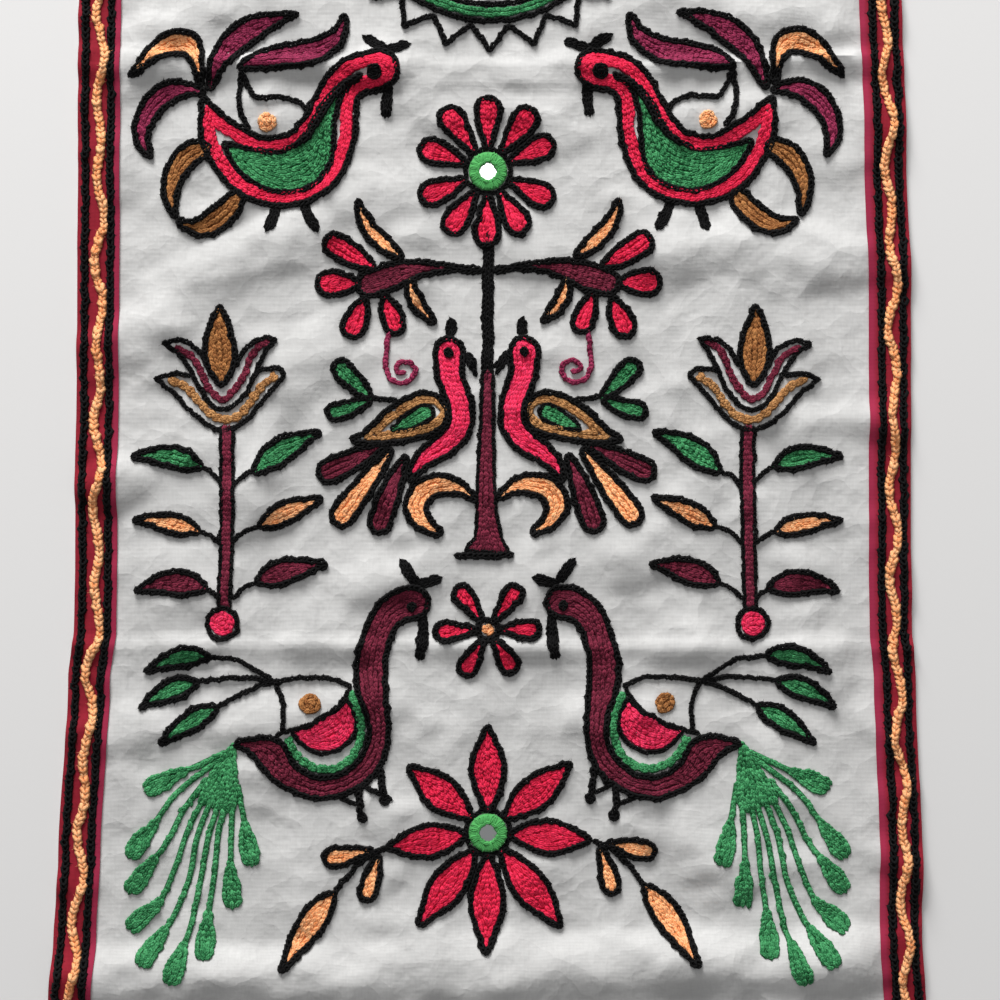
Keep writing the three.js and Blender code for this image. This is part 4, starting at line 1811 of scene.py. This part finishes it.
def ground_cotton_material() -> bpy.types.Material:
    """Off-white handloom cotton, with slubs and faint grey smudges."""
    material, shader = new_material("ground_cotton", roughness=0.92, specular_ior_level=0.15)
    tree = material.node_tree
    weave = place_group(
        material, plain_weave_group(), {"Shadow": linear(192, 191, 189), "Thread": linear(210, 209, 207)}
    )
    place = node(tree, "ShaderNodeTexCoord")
    cloud = node(tree, "ShaderNodeTexNoise", inputs={"Scale": 22.0, "Detail": 4.0, "Roughness": 0.6})
    tree.links.new(place.outputs["Object"], cloud.inputs["Vector"])
    smudge = math_node(tree, "MULTIPLY_ADD", cloud.outputs[0], 1.2, -0.55)
    worn = mix_colours(tree, smudge, weave.outputs["Color"], linear(178, 177, 175))
    tree.links.new(worn, shader.inputs["Base Color"])
    bent = node(tree, "ShaderNodeMix", data_type="VECTOR", inputs={0: 0.03})
    tree.links.new(place.outputs["Object"], bent.inputs[4])
    tree.links.new(cloud.outputs["Color"], bent.inputs[5])
    creases = node(tree, "ShaderNodeTexVoronoi", inputs={"Scale": 30.0, "Detail": 1.0})
    tree.links.new(bent.outputs[1], creases.inputs["Vector"])
    add_bump(material, creases.outputs["Distance"], 2.2, 1.0)
    add_bump(material, weave.outputs["Height"], 0.2, 0.4)
    return material


def band_cotton_material() -> bpy.types.Material:
    """Crimson cotton, pinker at the band's inner edge."""
    if "band_weave" in bpy.data.materials:
        return bpy.data.materials["band_weave"]
    material, shader = new_material("band_weave", roughness=0.9, specular_ior_level=0.2)
    tree = material.node_tree
    weave = place_group(
        material, plain_weave_group(), {"Shadow": linear(122, 20, 34), "Thread": linear(154, 36, 52)}
    )
    inset = node(tree, "ShaderNodeAttribute", attribute_name="inset")
    inner = math_node(tree, "MULTIPLY_ADD", inset.outputs["Fac"], 8.0, -6.2)
    colour = mix_colours(tree, inner, weave.outputs["Color"], linear(152, 40, 68))
    tree.links.new(colour, shader.inputs["Base Color"])
    add_bump(material, weave.outputs["Height"], 0.2, 0.4)
    return material


def part_material(slot: str) -> bpy.types.Material:
    """The part's own material of a slot, which the frame brings in."""
    return bpy.data.materials[slot]


def floor_material() -> bpy.types.Material:
    """Plain pale matt floor."""
    material, shader = new_material("pale_floor", base_color=(0.72, 0.71, 0.7, 1.0), roughness=0.8)
    tree = material.node_tree
    place = node(tree, "ShaderNodeTexCoord")
    grain = node(tree, "ShaderNodeTexNoise", inputs={"Scale": 300.0, "Detail": 2.0})
    tree.links.new(place.outputs["Object"], grain.inputs["Vector"])
    add_bump(material, grain.outputs[0], 0.05, 0.2)
    return material


def dress(piece: bpy.types.Object, material: bpy.types.Material) -> None:
    """Give a piece its only material."""
    piece.data.materials.clear()
    piece.data.materials.append(material)


@dataclass
class Studio:
    """The plain pale floor, the soft lights and the camera straight above the cloth."""

    floor_size: float = 4.0
    floor_drop: float = 0.0004
    camera_place: tuple[float, float, float] = (0.006, 0.0, 1.2)
    frame_width: float = 0.5
    sensor: float = 36.0

    def floor(self) -> None:
        """Lay the floor just under the cloth."""
        deselect_all()
        bpy.ops.mesh.primitive_plane_add(size=self.floor_size, location=(0.0, 0.0, -self.floor_drop))
        ground = bpy.context.object
        ground.name = "studio_floor"
        dress(ground, floor_material())

    def camera(self) -> None:
        """Set the camera to take in the photographed width."""
        data = bpy.data.cameras.new("camera")
        data.sensor_width = self.sensor
        data.lens = self.sensor * self.camera_place[2] / self.frame_width
        data.clip_start = 0.05
        data.dof.use_dof = False
        camera = bpy.data.objects.new("camera", data)
        camera.location = self.camera_place
        bpy.context.scene.collection.objects.link(camera)
        bpy.context.scene.camera = camera

    def soft_light(self, name: str, place: Knot, target: Knot, size: float, power: float) -> None:
        """Hang a square soft light.

        Args:
            name: Its name.
            place: Where it hangs, in metres.
            target: Where it points, in metres.
            size: Its side, in metres.
            power: Its power, in watts.
        """
        data = bpy.data.lights.new(name, "AREA")
        data.size = size
        data.energy = power
        light = bpy.data.objects.new(name, data)
        light.location = place
        aim = Vector(target) - Vector(place)
        light.rotation_mode = "QUATERNION"
        light.rotation_quaternion = aim.to_track_quat("-Z", "Y")
        bpy.context.scene.collection.objects.link(light)

    def lights(self) -> None:
        """Window light from the design's upper end, a panel overhead and a pale surround."""
        self.soft_light("window", (-0.8, 3.3, 1.7), (0.0, 0.0, 0.0), 1.6, 215.0)
        self.soft_light("overhead", (0.0, 0.75, 1.7), (0.0, 0.1, 0.0), 0.9, 5.0)
        world = bpy.data.worlds.new("surround")
        world.use_nodes = True
        background = world.node_tree.nodes["Background"]
        background.inputs["Color"].default_value = (0.92, 0.93, 0.95, 1.0)
        background.inputs["Strength"].default_value = 0.27
        bpy.context.scene.world = world
        bpy.context.scene.view_settings.view_transform = "Standard"


def main() -> None:
    """Build the cloth, its bands, mirrors and embroidery, and light them."""
    logging.basicConfig(level=logging.INFO, format="%(message)s")
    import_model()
    studio = Studio()
    studio.floor()
    studio.camera()
    studio.lights()
    drape = Drape()
    sewn_on_ground = []
    for name, centre in zip(("upper", "lower"), MIRROR_CENTRES):
        mirror = SewnMirror(drape, name, centre)
        sewn_on_ground += [mirror.glass(), mirror.ring()]
    motifs = (
        CrestedPeacocks(), TenPetalFlower(), TreeOfLife(), Parrots(), TulipPlants(), FanTailPeacocks(),
        SixPetalFlower(), EightPetalFlower(), TopMedallion(),
    )
    for motif in motifs:
        sewn_on_ground += motif.sew(drape)
    bands = (
        SideBand(drape, Side.LEFT, inner_row=16.4, wave_row=11.2),
        SideBand(drape, Side.RIGHT, inner_row=14.6, wave_row=9.0),
    )
    for band in bands:
        strip = band.build()
        band.sew()
    ground = GroundCloth(drape)
    panel = ground.build()


if __name__ == "__main__":
    main()
